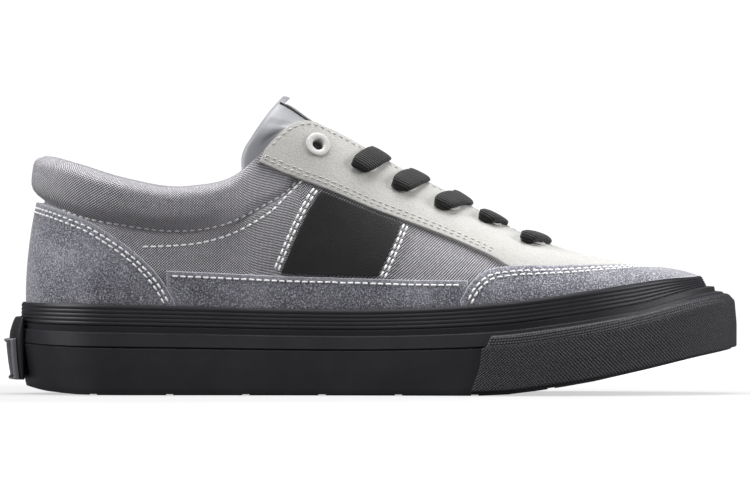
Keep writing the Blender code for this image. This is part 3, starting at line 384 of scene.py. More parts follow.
def profile_paths(turn):
    """Points down each profile from the top edge, and the distance reached at each."""
    low, first, second, top = profile(turn)
    t = np.linspace(0, 1, PROFILE_SAMPLES)[None, :, None]
    path = (
        top[:, None] * (1 - t) ** 3
        + 3 * second[:, None] * t * (1 - t) ** 2
        + 3 * first[:, None] * t**2 * (1 - t)
        + low[:, None] * t**3
    )
    steps = np.linalg.norm(np.diff(path, axis=1), axis=2)
    reached = np.concatenate([np.zeros((len(turn), 1)), np.cumsum(steps, axis=1)], axis=1)
    return path, reached


def skin(turn, drop):
    """Points of the upper's outer face, a distance down the profile from its top edge."""
    turn = np.atleast_1d(np.asarray(turn, float))
    drop = np.broadcast_to(np.asarray(drop, float), turn.shape)
    path, reached = profile_paths(turn)
    row = np.arange(len(turn))
    i = np.clip((reached <= drop[:, None]).sum(axis=1) - 1, 0, PROFILE_SAMPLES - 2)
    t = (drop - reached[row, i]) / (reached[row, i + 1] - reached[row, i])
    return path[row, i] + (path[row, i + 1] - path[row, i]) * t[:, None]


def profile_length(turn):
    """Length of each profile, from its top edge down to where the foxing hides it."""
    return profile_paths(np.atleast_1d(np.asarray(turn, float)))[1][:, -1]


def skin_normal(turn, drop):
    """Unit vectors out of the upper's face."""
    turn = np.atleast_1d(np.asarray(turn, float))
    drop = np.broadcast_to(np.asarray(drop, float), turn.shape)
    step = 0.0015
    length = profile_length(turn)
    high = np.maximum(drop - step, 0.0)
    low = np.minimum(drop + step, length)
    down = skin(turn, low) - skin(turn, high)
    round_step = 2e-3
    share = drop / length
    ahead_turn, behind_turn = turn + round_step, turn - round_step
    ahead = skin(ahead_turn, share * profile_length(ahead_turn))
    behind = skin(behind_turn, share * profile_length(behind_turn))
    normal = np.cross(down, ahead - behind)
    return normal / np.linalg.norm(normal, axis=1, keepdims=True)


def collar_share(turn):
    """1 round the ankle collar, 0 along the throat."""
    return 1 - smooth_step(0.27, 0.345, read(PROFILES, "top", along_of(turn)))


def puff(turn, drop):
    """How far the padded collar swells out from the skin."""
    share = np.asarray(drop) / COLLAR_DEPTH
    roll = np.where(share < 1, np.maximum(read(ROLL, "puff", share), 0), 0)
    return COLLAR_PUFF * collar_share(turn) * roll


def wall(turn, drop):
    """Thickness of the upper inward from its skin: padded at the collar."""
    share = np.asarray(drop) / COLLAR_DEPTH
    padding = COLLAR_PADDING * read(ROLL, "padding", share)
    edge = np.sqrt(np.clip(np.asarray(drop) / UPPER_WALL, 0, 1))
    return UPPER_WALL * edge + collar_share(turn) * padding


def raised(turn, drop, out=0.0):
    """A point a distance out from the upper's face."""
    away = puff(turn, drop) + out
    return skin(turn, drop) + skin_normal(turn, drop) * np.asarray(away)[..., None]


def inner(turn, drop):
    """A point of the upper's inner face."""
    return skin(turn, drop) - skin_normal(turn, drop) * wall(turn, drop)[..., None]


def on_side(x_share, height, side):
    """The turns and drops at which the skin has these places and heights, seen from the side."""
    wanted = np.atleast_1d(np.asarray(x_share, float)) * SOLE_LENGTH - ORIGIN_FROM_HEEL
    height = np.atleast_1d(np.asarray(height, float))
    along = np.atleast_1d(np.asarray(x_share, float)).copy()
    share = np.full(len(along), 0.5)
    for _ in range(40):
        turn = turn_of(np.clip(along, 0.001, 0.999), side)
        length = profile_length(turn)
        point = skin(turn, share * length)
        along += 0.7 * (wanted - point[:, 0]) / SOLE_LENGTH
        share = np.clip(share - 0.7 * (height - point[:, 2]) / length, 0.0, 1.0)
    return np.stack([turn, share * length], axis=1)


def smooth_path(points, at):
    """The smooth curve through the points at distances along them."""
    points = np.array(points, float)
    steps = np.linalg.norm(np.diff(points, axis=0), axis=1)
    reached = np.concatenate([[0], np.cumsum(steps)])
    at = np.asarray(at, float) * reached[-1]
    slopes = np.gradient(points, reached, axis=0)
    i = np.clip(np.searchsorted(reached, at, side="right") - 1, 0, len(points) - 2)
    width = (reached[i + 1] - reached[i])[:, None]
    t = (at - reached[i])[:, None] / width
    return (
        points[i] * (1 + 2 * t) * (1 - t) ** 2
        + points[i + 1] * t**2 * (3 - 2 * t)
        + width * (slopes[i] * t * (1 - t) ** 2 - slopes[i + 1] * t**2 * (1 - t))
    )


def resample(points, count):
    """Evenly spaced points on the smooth curve through the given ones."""
    return smooth_path(points, np.linspace(0, 1, count))


def resample_edge(edge, count):
    """Evenly spaced turns and drops along an edge that is given as turns and drops."""
    scale = np.array([2 * SOLE_LENGTH, 1.0])
    return resample(np.array(edge) * scale, count) / scale


def throat_turn(x_share, side):
    """The turn at which the upper's top edge is this far along the shoe."""
    low, high = 0.0, 1.0
    for _ in range(50):
        middle = (low + high) / 2
        if float(read(PROFILES, "top", middle)) < x_share:
            low = middle
        else:
            high = middle
    return float(turn_of((low + high) / 2, side))


# Edges of the panels as seen from the side: place along the shoe and height, as shares
# of the sole's length and of the instep height
COUNTER_EDGE = named_table(
    "along height",
    [
        (0.055, 0.683),
        (0.108, 0.625),
        (0.150, 0.552),
        (0.185, 0.475),
        (0.208, 0.400),
        (0.221, 0.338),
    ],
)
SIDE_STRIP_EDGE = named_table(
    "along height",
    [
        (0.209, 0.456),
        (0.270, 0.449),
        (0.365, 0.437),
        (0.480, 0.428),
        (0.560, 0.421),
        (0.628, 0.419),
    ],
)
MUDGUARD_EDGE = named_table(
    "along height",
    [
        (0.618, 0.345),
        (0.630, 0.400),
        (0.645, 0.440),
        (0.668, 0.462),
        (0.700, 0.466),
        (0.745, 0.464),
    ],
)
EYESTAY_EDGE = named_table(
    "along height",
    [
        (0.337, 0.850),
        (0.375, 0.808),
        (0.440, 0.741),
        (0.492, 0.681),
        (0.555, 0.618),
        (0.620, 0.550),
        (0.662, 0.500),
    ],
)
SADDLE_FOOT = named_table(
    "along height",
    [(0.368, 0.446), (0.412, 0.441), (0.458, 0.438), (0.503, 0.435)],
)
SADDLE_HEAD = named_table(
    "along height",
    [(0.424, 0.744), (0.461, 0.704), (0.498, 0.664), (0.535, 0.627)],
)


def resolve(edge, side, count):
    """A panel edge as turns and drops on one side of the shoe."""
    seen = resample(np.column_stack([edge["along"] * SOLE_LENGTH, edge["height"] * INSTEP_HEIGHT]), count)
    return on_side(seen[:, 0] / SOLE_LENGTH, seen[:, 1], side)


def mudguard_edge():
    """Rear edge of the mudguard round the toe, as turns and drops."""
    lateral = resolve(MUDGUARD_EDGE, -1, 9)
    medial = resolve(MUDGUARD_EDGE, 1, 9)[::-1]
    toe_length = profile_length(np.array([0.5]))[0]
    middle = [[0.5, toe_length - MUDGUARD_TOE_DROP]]
    return resample_edge(np.concatenate([lateral, middle, medial]), 31)


def edge_point(place, side, drop, gap):
    """A point inside the upper near its top edge, clear of the padding."""
    turn = np.array([throat_turn(place, side)])
    away = wall(turn, np.maximum(drop, 0.45 * COLLAR_DEPTH)) + gap
    return (skin(turn, drop) - skin_normal(turn, max(drop, 0.0)) * away[:, None])[0]


# Tongue sections from its sewn end up to its free edge: place of the middle, its height as
# shares of the vamp height, the instep height and the overhang, place of the side, how far
# the side reaches under the upper (high and low, as shares of the tuck), and how far back
# the section bows
TONGUE = named_table(
    "along middle vamp instep over side high low bow",
    [
        (0.00, 0.757, 0.894, 0.000, 0.00, 0.722, 0.40, 1.00, 0.0),
        (0.12, 0.705, 1.050, 0.000, 0.00, 0.682, 0.13, 1.00, 0.0),
        (0.26, 0.630, 0.000, 0.672, 0.00, 0.610, 0.13, 1.07, 0.0),
        (0.42, 0.550, 0.000, 0.788, 0.00, 0.530, 0.13, 1.07, 0.0),
        (0.58, 0.478, 0.000, 0.893, 0.00, 0.455, 0.13, 1.13, 0.1),
        (0.72, 0.434, 0.000, 0.966, 0.00, 0.400, 0.07, 1.20, 0.2),
        (0.86, 0.403, 0.000, 1.000, 0.40, 0.352, -0.20, 1.00, 0.4),
        (1.00, 0.373, 0.000, 1.000, 1.00, 0.314, -0.47, 0.40, 0.5),
    ],
)


# Place of the middle point in a row across the tongue
MIDDLE_POINT = 6


def tongue_height(at):
    """Height of the tongue's middle at a share of its length."""
    foot = TONGUE["vamp"] * VAMP_HEIGHT + TONGUE["instep"] * INSTEP_HEIGHT
    heights = {"along": TONGUE["along"], "height": foot + TONGUE["over"] * TONGUE_OVERHANG}
    return float(read(heights, "height", at))


def tongue_row(at):
    """One row of points across the tongue's outer face, from the lateral side."""
    values = {name: float(read(TONGUE, name, at)) for name in TONGUE}
    middle = np.array(
        [
            values["middle"] * SOLE_LENGTH - ORIGIN_FROM_HEEL,
            float(throat_middle(throat_turn(min(max(values["middle"], 0.40), 0.739), -1))),
            tongue_height(at),
        ]
    )
    row = []
    top, bottom = values["high"] * TONGUE_TUCK, values["low"] * TONGUE_TUCK
    for side in (-1, 1):
        low, half, high = (
            edge_point(values["side"], side, drop, TONGUE_CLEARANCE)
            for drop in (bottom, (top + bottom) / 2, top)
        )
        run, rise, bow = middle[0] - high[0], middle[2] - high[2], values["bow"]
        spread = high[1] - middle[1]
        first = high + (run * (0.60 - 0.50 * bow), -spread * 0.04, rise * 0.60)
        second = middle + (0.0, spread * 0.52, 0.0)
        arch = [
            high * (1 - t) ** 3
            + 3 * first * t * (1 - t) ** 2
            + 3 * second * t**2 * (1 - t)
            + middle * t**3
            for t in (0.22, 0.46, 0.73)
        ]
        points = [low, half, high, *arch]
        row.append(points if side < 0 else points[::-1])
    return row[0] + [middle] + row[1]


def grid_normals(grid):
    """Unit normals of a grid of points."""
    across = np.gradient(grid, axis=1)
    along = np.gradient(grid, axis=0)
    normal = np.cross(across, along)
    normal /= np.linalg.norm(normal, axis=2, keepdims=True)
    return normal * np.sign(normal[..., 2].mean())


# Eyelet pairs from the toe up: place along the throat edge, and distance back from it as
# a share of the eyelet setback
EYELETS = named_table(
    "place setback",
    [
        (0.672, 1.95),
        (0.639, 0.95),
        (0.586, 1.08),
        (0.532, 0.88),
        (0.480, 0.80),
        (0.413, 1.02),
    ],
)


def rise_under_ring(turn, drop, centre, normal):
    """How far the skin under an eyelet's flange stands above the skin at its middle."""
    step = 1e-3
    speed = np.linalg.norm(skin(turn + step, drop)[0] - skin(turn - step, drop)[0]) / (2 * step)
    angles = np.linspace(0, 2 * np.pi, 2 * EYELET_SIDES, endpoint=False)
    turns = turn + EYELET_FLANGE * np.cos(angles) / speed
    rim_points = skin(turns, drop + EYELET_FLANGE * np.sin(angles))
    return max(float(((rim_points - centre) @ normal).max()), 0.0)


def eyelet_frames():
    """Seat, outward direction, turn and drop of each eyelet, in lateral and medial pairs."""
    frames = []
    for place, setback in zip(EYELETS["place"], EYELETS["setback"]):
        pair = []
        for side in (-1, 1):
            turn, drop = throat_turn(place, side), setback * EYELET_SETBACK
            centre, normal = skin(turn, drop)[0], skin_normal(turn, drop)[0]
            seat = centre + normal * rise_under_ring(turn, drop, centre, normal)
            pair.append((seat, normal, turn, drop))
        frames.append(pair)
    return frames


def turned_frame(centre, normal):
    """A matrix with its Z along a direction."""
    up = Vector(normal)
    matrix = up.to_track_quat("Z", "Y").to_matrix().to_4x4()
    matrix.translation = Vector(centre)
    return matrix


def along_throat(turn, drop, side):
    """Unit vector along the upper, toward the toe, at a turn and drop."""
    step = -4e-3 * side
    vector = skin(turn + step, drop)[0] - skin(turn - step, drop)[0]
    return vector / np.linalg.norm(vector)


def foxing_face(turn, row, out):
    """Points of the foxing's outer face at a row of its bands, a distance further out."""
    along = along_of(turn)
    toe = smooth_step(0.86, 1.0, along)
    heel = 1 - smooth_step(0.0, 0.12, along)
    low, high = ground(along), rim(along)
    band = {name: np.interp(row, np.arange(len(BANDS[name])), BANDS[name]) for name in BANDS}
    share = band["side"] + (band["toe"] - band["side"]) * toe
    away = out - lean(along) * band["lean"] - HEEL_UNDERCUT * heel * band["undercut"]
    plan = outline(turn) + outward(turn) * away[..., None]
    return np.column_stack([plan, low + (high - low) * share])


# Heel strip from the floor up: height as a share of the foxing height, and thickness share
STRIP = named_table(
    "along height thick",
    [
        (0.0, 0.17, 0.45),
        (0.3, 0.40, 0.85),
        (0.7, 0.70, 1.00),
        (1.0, 0.90, 0.35),
    ],
)


def strip_turn(across):
    """The turn at a share of the heel strip's width, from its middle."""
    return across * STRIP_WIDTH / (2 * np.pi * math.sqrt(SOLE_LENGTH * HEEL_WIDTH / 2))


def strip_face(across, at, out):
    """A point of the heel strip's outer face, a distance further out."""
    turn = strip_turn(across)
    base = outline(turn)
    height = float(read(STRIP, "height", at)) * FOXING_HEIGHT
    lift = STRIP_THICKNESS * float(read(STRIP, "thick", at)) * (1 - 0.5 * abs(2 * across) ** 6)
    return np.array([*(base + outward(turn) * (lift + out)), height])


# Finishes of the dressed pieces
CANVAS_THREAD = 0.00056
LACE_THREAD = 0.0009
STITCH_LENGTH = 0.0024
STITCH_PITCH = 0.0031
THREAD_RADIUS = 0.00040
STITCH_SEED = 3
CUT_EDGE = 0.0005
RIBS_START = 9  # row of the bands where the ribs begin
FINE_RIBS = 5
FINE_RIB_HEIGHT = 0.00026
RIB_PITCH = 0.0014
BEAD_PITCH = 0.0025
# How each lace lies, from the toe up: shares of its width, its thickness and its slant
LACE_LIE = named_table("wide thick hang", [
    (0.84, 1.40, 0.9),
    (0.94, 1.30, 0.9),
    (1.00, 1.20, 0.9),
    (1.00, 1.10, 0.9),
    (1.00, 1.00, 1.0),
])
# Floor glow seen by the camera: lowest near the shoe, where it paints the soft floor shadow, rising to full
# white further away.
FLOOR_GLOW_IN_PAINTED_SHADOW = 0.56
PAINTED_FLOOR_SHADOW_FADE = (0.15, 0.55)
VIEW_WIDTH = 0.306
VIEW_CENTRE = (0.0990, 0.0, 0.0627)
VIEW_TILT = 0.6
ROOM_LIGHT = 0.13


def node(tree, kind, values=None, links=None, **settings):
    """One shader node, with its settings, its socket values and what feeds its sockets."""
    made = tree.nodes.new(kind)
    for name, value in settings.items():
        setattr(made, name, value)
    for socket, value in (values or {}).items():
        made.inputs[socket].default_value = value
    for socket, source in (links or {}).items():
        tree.links.new(source, made.inputs[socket])
    return made


def maths(tree, operation, first, second=None):
    """The result of a Math node on sockets or numbers."""
    made = tree.nodes.new("ShaderNodeMath")
    made.operation = operation
    for index, value in enumerate((first, second)):
        if value is None:
            continue
        if isinstance(value, (int, float)):
            made.inputs[index].default_value = value
        else:
            tree.links.new(value, made.inputs[index])
    return made.outputs[0]


def times(tree, first, second):
    """The product of two sockets or numbers."""
    return maths(tree, "MULTIPLY", first, second)


def noise(tree, scale, detail, place):
    """Fractal noise over a place, in cells for each metre."""
    return node(tree, "ShaderNodeTexNoise", values={"Scale": scale, "Detail": detail}, links={0: place})


def blend_colour(tree, mask, first, second):
    """Mixes two colours, given as sockets or as colours, by a mask."""
    made = tree.nodes.new("ShaderNodeMix")
    made.data_type = "RGBA"
    for socket, value in zip((made.inputs[0], made.inputs[6], made.inputs[7]), (mask, first, second)):
        if isinstance(value, bpy.types.NodeSocket):
            tree.links.new(value, socket)
        else:
            socket.default_value = value
    return made.outputs[2]


def new_group(name, takes, gives):
    """An empty node group with named inputs and outputs."""
    group = bpy.data.node_groups.new(name, "ShaderNodeTree")
    kinds = {"colour": "NodeSocketColor", "value": "NodeSocketFloat", "vector": "NodeSocketVector"}
    for label, (kind, value) in takes.items():
        socket = group.interface.new_socket(name=label, in_out="INPUT", socket_type=kinds[kind])
        if value is not None:
            socket.default_value = value
    for label, kind in gives.items():
        group.interface.new_socket(name=label, in_out="OUTPUT", socket_type=kinds[kind])
    enter = group.nodes.new("NodeGroupInput")
    leave = group.nodes.new("NodeGroupOutput")
    return group, enter.outputs, leave.inputs


def plain_weave_group():
    """Threads that pass over and under each other, from a UV map in metres, with painted shade in the low
    gaps between them.
    """
    takes = {
        "UV": ("vector", None),
        "Thread": ("value", 0.0005),
        "Warp Colour": ("colour", (0.5, 0.5, 0.5, 1)),
        "Weft Colour": ("colour", (0.4, 0.4, 0.4, 1)),
        "Gap Shade Colour": ("colour", (0.1, 0.1, 0.1, 1)),
    }
    group, enter, leave = new_group("plain weave", takes, {"Colour": "colour", "Height": "value"})
    scaled = node(group, "ShaderNodeVectorMath", operation="DIVIDE", links={0: enter["UV"]})
    group.links.new(enter["Thread"], scaled.inputs[1])
    split = node(group, "ShaderNodeSeparateXYZ", links={0: scaled.outputs[0]})
    across, along = split.outputs["X"], split.outputs["Y"]
    warp_row = times(group, maths(group, "FLOOR", across), math.pi)
    weft_row = times(group, maths(group, "FLOOR", along), math.pi)
    warp_round = maths(group, "ABSOLUTE", maths(group, "SINE", times(group, across, math.pi)))
    weft_round = maths(group, "ABSOLUTE", maths(group, "SINE", times(group, along, math.pi)))
    warp_wave = maths(group, "COSINE", maths(group, "ADD", times(group, along, math.pi), warp_row))
    weft_wave = maths(group, "COSINE", maths(group, "ADD", times(group, across, math.pi), weft_row))
    warp_over = maths(group, "ADD", times(group, warp_wave, 0.5), 0.5)
    weft_over = maths(group, "SUBTRACT", 0.5, times(group, weft_wave, 0.5))
    warp = times(group, warp_round, warp_over)
    weft = times(group, weft_round, weft_over)
    height = maths(group, "MAXIMUM", warp, weft)
    slub = noise(group, 320.0, 3.0, enter["UV"])
    cloudy = times(group, maths(group, "SUBTRACT", slub.outputs[0], 0.5), 0.25)
    shade = maths(group, "ADD", maths(group, "POWER", height, 0.8), cloudy)
    upper = maths(group, "GREATER_THAN", warp, weft)
    thread = blend_colour(group, upper, enter["Weft Colour"], enter["Warp Colour"])
    lit = node(group, "ShaderNodeClamp", links={0: shade})
    # Painted shade: where the threads dip low, the colour goes to the gap shade colour.
    colour = blend_colour(group, lit.outputs[0], enter["Gap Shade Colour"], thread)
    group.links.new(colour, leave["Colour"])
    group.links.new(height, leave["Height"])
    return group


def suede_nap_group():
    """Short brushed fibres: fine specks and soft brush marks."""
    takes = {
        "Colour": ("colour", (0.2, 0.2, 0.2, 1)),
        "Light Speck": ("colour", (0.5, 0.5, 0.5, 1)),
        "Dark Speck": ("colour", (0.1, 0.1, 0.1, 1)),
        "Speck Size": ("value", 0.0005),
        "Speckle": ("value", 0.5),
    }
    group, enter, leave = new_group("suede nap", takes, {"Colour": "colour", "Height": "value"})
    place = node(group, "ShaderNodeTexCoord")
    scaled = node(group, "ShaderNodeVectorMath", operation="DIVIDE", links={0: place.outputs["Object"]})
    group.links.new(enter["Speck Size"], scaled.inputs[1])
    fine = node(group, "ShaderNodeTexNoise", values={"Scale": 0.9, "Detail": 2.0, "Roughness": 0.65},
                links={0: scaled.outputs[0]})
    spread = times(group, maths(group, "SUBTRACT", fine.outputs[0], 0.5), 4.2)
    light = node(group, "ShaderNodeClamp", links={0: times(group, spread, enter["Speckle"])})
    dark_side = times(group, times(group, spread, -1.0), enter["Speckle"])
    dark = node(group, "ShaderNodeClamp", links={0: dark_side})
    brushed = node(group, "ShaderNodeTexNoise", values={"Scale": 0.035, "Detail": 2.0, "Distortion": 0.6},
                   links={0: scaled.outputs[0]})
    marks = times(group, maths(group, "SUBTRACT", brushed.outputs[0], 0.5), 0.55)
    marks_up = node(group, "ShaderNodeClamp", links={0: marks})
    marks_down = node(group, "ShaderNodeClamp", links={0: times(group, marks, -1.0)})
    first = blend_colour(group, light.outputs[0], enter["Colour"], enter["Light Speck"])
    second = blend_colour(group, dark.outputs[0], first, enter["Dark Speck"])
    third = blend_colour(group, marks_up.outputs[0], second, enter["Light Speck"])
    fourth = blend_colour(group, marks_down.outputs[0], third, enter["Dark Speck"])
    group.links.new(fourth, leave["Colour"])
    group.links.new(fine.outputs[0], leave["Height"])
    return group


def cut_edge_group():
    """A band of another colour along a cut piece's rim: partly the raw edge, partly painted light, a
    highlight where the tint is paler and shade where it is darker.
    """
    takes = {
        "Colour": ("colour", (0.2, 0.2, 0.2, 1)),
        "Edge Colour And Rim Shading": ("colour", (0.6, 0.6, 0.6, 1)),
        "Amount": ("value", 0.8),
    }
    group, enter, leave = new_group("cut edge", takes, {"Colour": "colour"})
    near = node(group, "ShaderNodeAttribute", attribute_name="rim")
    ragged = node(group, "ShaderNodeTexNoise", values={"Scale": 900.0, "Detail": 2.0})
    place = node(group, "ShaderNodeTexCoord")
    group.links.new(place.outputs["Object"], ragged.inputs[0])
    broken = maths(group, "ADD", times(group, ragged.outputs[0], 0.8), 0.6)
    amount = times(group, near.outputs["Fac"], broken)
    mask = node(group, "ShaderNodeClamp", links={0: times(group, amount, enter["Amount"])})
    colour = blend_colour(group, mask.outputs[0], enter["Colour"], enter["Edge Colour And Rim Shading"])
    group.links.new(colour, leave["Colour"])
    return group


def handling_group():
    """Faint dust and rub marks, in soft patches."""
    takes = {
        "Colour": ("colour", (0.1, 0.1, 0.1, 1)),
        "Dust Colour": ("colour", (0.4, 0.4, 0.4, 1)),
        "Amount": ("value", 0.2),
        "Patch Size": ("value", 0.02),
    }
    group, enter, leave = new_group("handling marks", takes, {"Colour": "colour", "Mask": "value"})
    place = node(group, "ShaderNodeTexCoord")
    scaled = node(group, "ShaderNodeVectorMath", operation="DIVIDE", links={0: place.outputs["Object"]})
    group.links.new(enter["Patch Size"], scaled.inputs[1])
    patches = node(group, "ShaderNodeTexNoise", values={"Scale": 1.0, "Detail": 6.0, "Roughness": 0.7},
                   links={0: scaled.outputs[0]})
    raised_part = times(group, maths(group, "SUBTRACT", patches.outputs[0], 0.42), 3.0)
    mask = node(group, "ShaderNodeClamp", links={0: raised_part})
    amount = times(group, mask.outputs[0], enter["Amount"])
    group.links.new(blend_colour(group, amount, enter["Colour"], enter["Dust Colour"]), leave["Colour"])
    group.links.new(amount, leave["Mask"])
    return group


PLAIN_WEAVE = plain_weave_group()
SUEDE_NAP = suede_nap_group()
EDGE_TINT_AND_RIM_SHADING = cut_edge_group()
HANDLING = handling_group()


def grey(level, red=0.0, blue=0.0):
    """A colour as the eye reads it, from a grey level of 0 to 255 and shifts of its red and blue."""
    channels = []
    for shift in (red, 0.0, blue):
        value = (level + shift) / 255
        channels.append(value / 12.92 if value <= 0.04045 else ((value + 0.055) / 1.055) ** 2.4)
    return (*channels, 1.0)


def place_group(tree, group, values=None, links=None):
    """A node group placed in a material with its own values."""
    return node(tree, "ShaderNodeGroup", node_tree=group, values=values, links=links)


def finish(name, roughness, **sockets):
    """A material with its shader's own sockets set; its tree and shader are returned too."""
    material = bpy.data.materials.new(name)
    material.use_nodes = True
    shader = material.node_tree.nodes["Principled BSDF"]
    shader.inputs["Roughness"].default_value = roughness
    for socket, value in sockets.items():
        shader.inputs[socket.replace("_", " ")].default_value = value
    return material, material.node_tree, shader


def relief(tree, shader, height, depth):
    """Feeds a height to the shader's normal, with its depth in metres."""
    bump = node(tree, "ShaderNodeBump", values={"Strength": 1.0, "Distance": depth},
                links={"Height": height})
    tree.links.new(bump.outputs[0], shader.inputs["Normal"])


def woven(name, thread, warp, weft, gap_shade, roughness=0.85, depth=0.00016, turned=0.0):
    """Cloth of plain woven threads, with painted shade in the gaps between them."""
    material, tree, shader = finish(name, roughness, Sheen_Weight=0.12, Sheen_Roughness=0.6)
    shader.inputs["Specular IOR Level"].default_value = 0.2
    place = node(tree, "ShaderNodeUVMap", uv_map="weave")
    source = place.outputs[0]
    if turned:
        spun = node(tree, "ShaderNodeMapping", values={"Rotation": (0, 0, turned)}, links={0: source})
        source = spun.outputs[0]
    cloth = place_group(tree, PLAIN_WEAVE, {"Thread": thread, "Warp Colour": warp, "Weft Colour": weft,
                                           "Gap Shade Colour": gap_shade},
                        {"UV": source})
    worn = place_group(tree, HANDLING, {"Dust Colour": weft, "Amount": 0.10, "Patch Size": 0.018},
                       {"Colour": cloth.outputs["Colour"]})
    tree.links.new(worn.outputs["Colour"], shader.inputs["Base Color"])
    relief(tree, shader, cloth.outputs["Height"], depth)
    return material


def suede(name, colour, light, dark, edge, speck, speckle, edge_and_rim_shading_amount=0.8):
    """Brushed suede whose cut edge is tinted: partly the raw edge's own colour, partly a painted highlight
    where the tint is paler and painted shade where it is darker.
    """
    material, tree, shader = finish(name, 0.95, Sheen_Weight=0.35, Sheen_Roughness=0.45)
    shader.inputs["Specular IOR Level"].default_value = 0.12
    nap = place_group(tree, SUEDE_NAP, {"Colour": colour, "Light Speck": light, "Dark Speck": dark,
                                        "Speck Size": speck, "Speckle": speckle})
    edged = place_group(tree, EDGE_TINT_AND_RIM_SHADING, {"Edge Colour And Rim Shading": edge, "Amount": edge_and_rim_shading_amount},
                        {"Colour": nap.outputs["Colour"]})
    worn = place_group(tree, HANDLING, {"Dust Colour": light, "Amount": 0.16, "Patch Size": 0.03},
                       {"Colour": edged.outputs["Colour"]})
    tree.links.new(worn.outputs["Colour"], shader.inputs["Base Color"])
    relief(tree, shader, nap.outputs["Height"], 0.00022)
    return material


def rubber(name, colour, dust, roughness, amount=0.25):
    """Vulcanised rubber with a soft satin face."""
    material, tree, shader = finish(name, roughness)
    shader.inputs["Specular IOR Level"].default_value = 0.42
    worn = place_group(tree, HANDLING, {"Colour": colour, "Dust Colour": dust, "Amount": amount,
                                        "Patch Size": 0.035})
    tree.links.new(worn.outputs["Colour"], shader.inputs["Base Color"])
    place = node(tree, "ShaderNodeTexCoord")
    fine = noise(tree, 1500.0, 2.0, place.outputs["Object"])
    rough = maths(tree, "ADD", times(tree, worn.outputs["Mask"], 0.5), roughness)
    tree.links.new(rough, shader.inputs["Roughness"])
    relief(tree, shader, fine.outputs[0], 0.00004)
    return material


def moulded_rubber():
    """Rubber with two rows of moulded texture: beads above, fine crossed ribs below; the raised tips are
    painted lighter as highlight and the pits darker as shade.
    """
    material = rubber("moulded toe rubber", grey(24, 0, 6), grey(48, 0, 6), 0.5, 0.30)
    tree = material.node_tree
    shader = tree.nodes["Principled BSDF"]
    place = node(tree, "ShaderNodeUVMap", uv_map="weave")
    split = node(tree, "ShaderNodeSeparateXYZ", links={0: place.outputs[0]})
    across, up = split.outputs["X"], split.outputs["Y"]
    share = node(tree, "ShaderNodeAttribute", attribute_name="height_share").outputs["Fac"]
    middle = node(tree, "ShaderNodeAttribute", attribute_name="toe_front").outputs["Fac"]

    def waves(first, second, pitch):
        turned = times(tree, maths(tree, "ADD", first, second), 2 * math.pi / pitch)
        return maths(tree, "SINE", turned)

    down = times(tree, up, -1.0)
    ribs = maths(tree, "ADD", waves(across, up, RIB_PITCH), waves(across, down, RIB_PITCH))
    tall = times(tree, up, 1.05)
    low = times(tree, tall, -1.0)
    beads = times(tree, waves(across, tall, BEAD_PITCH), waves(across, low, BEAD_PITCH))
    above = maths(tree, "GREATER_THAN", share, 0.72)
    upper_rows = times(tree, above, maths(tree, "LESS_THAN", middle, 0.5))
    smooth_rows = maths(tree, "GREATER_THAN", share, 0.965)
    bead_height = times(tree, beads, 0.9)
    rib_height = times(tree, ribs, 0.45)
    mixed = maths(tree, "ADD", times(tree, bead_height, upper_rows),
                  times(tree, rib_height, maths(tree, "SUBTRACT", 1.0, upper_rows)))
    height = times(tree, mixed, maths(tree, "SUBTRACT", 1.0, smooth_rows))
    relief(tree, shader, height, 0.00018)
    plain = shader.inputs["Base Color"].links[0].from_socket
    # Painted highlight on the raised tips and painted shade in the pits of the moulded texture.
    painted_tip_highlight = node(tree, "ShaderNodeClamp", links={0: times(tree, height, 0.75)})
    painted_pit_shade = node(tree, "ShaderNodeClamp", links={0: times(tree, height, -1.1)})
    lit = blend_colour(tree, painted_tip_highlight.outputs[0], plain, grey(52, 0, 6))
    tree.links.new(blend_colour(tree, painted_pit_shade.outputs[0], lit, grey(8, 0, 1)), shader.inputs["Base Color"])
    return material


def leather(name, colour, light):
    """Smooth black leather with a fine pebble and soft wrinkles."""
    material, tree, shader = finish(name, 0.48)
    shader.inputs["Specular IOR Level"].default_value = 0.38
    place = node(tree, "ShaderNodeTexCoord")
    cells = node(tree, "ShaderNodeTexVoronoi", feature="DISTANCE_TO_EDGE", values={"Scale": 900.0},
                 links={0: place.outputs["Object"]})
    soft = noise(tree, 60.0, 3.0, place.outputs["Object"])
    grain = maths(tree, "MINIMUM", times(tree, cells.outputs[0], 2.2), 1.0)
    height = maths(tree, "ADD", grain, soft.outputs[0])
    # The paler edge tint is partly the raw edge and partly a painted highlight on the rim.
    edged = place_group(tree, EDGE_TINT_AND_RIM_SHADING, {"Colour": colour, "Edge Colour And Rim Shading": light, "Amount": 0.35})
    worn = place_group(tree, HANDLING, {"Dust Colour": light, "Amount": 0.2, "Patch Size": 0.03},
                       {"Colour": edged.outputs["Colour"]})
    tree.links.new(worn.outputs["Colour"], shader.inputs["Base Color"])
    relief(tree, shader, height, 0.00009)
    return material


def satin_cloth(name, colour, light):
    """Smooth coated cloth of the tongue, with a fine grain."""
    material, tree, shader = finish(name, 0.42)
    shader.inputs["Specular IOR Level"].default_value = 0.45
    place = node(tree, "ShaderNodeTexCoord")
    fine = noise(tree, 1300.0, 3.0, place.outputs["Object"])
    worn = place_group(tree, HANDLING, {"Colour": colour, "Dust Colour": light, "Amount": 0.25,
                                        "Patch Size": 0.02})
    tree.links.new(worn.outputs["Colour"], shader.inputs["Base Color"])
    relief(tree, shader, fine.outputs[0], 0.00005)
    return material


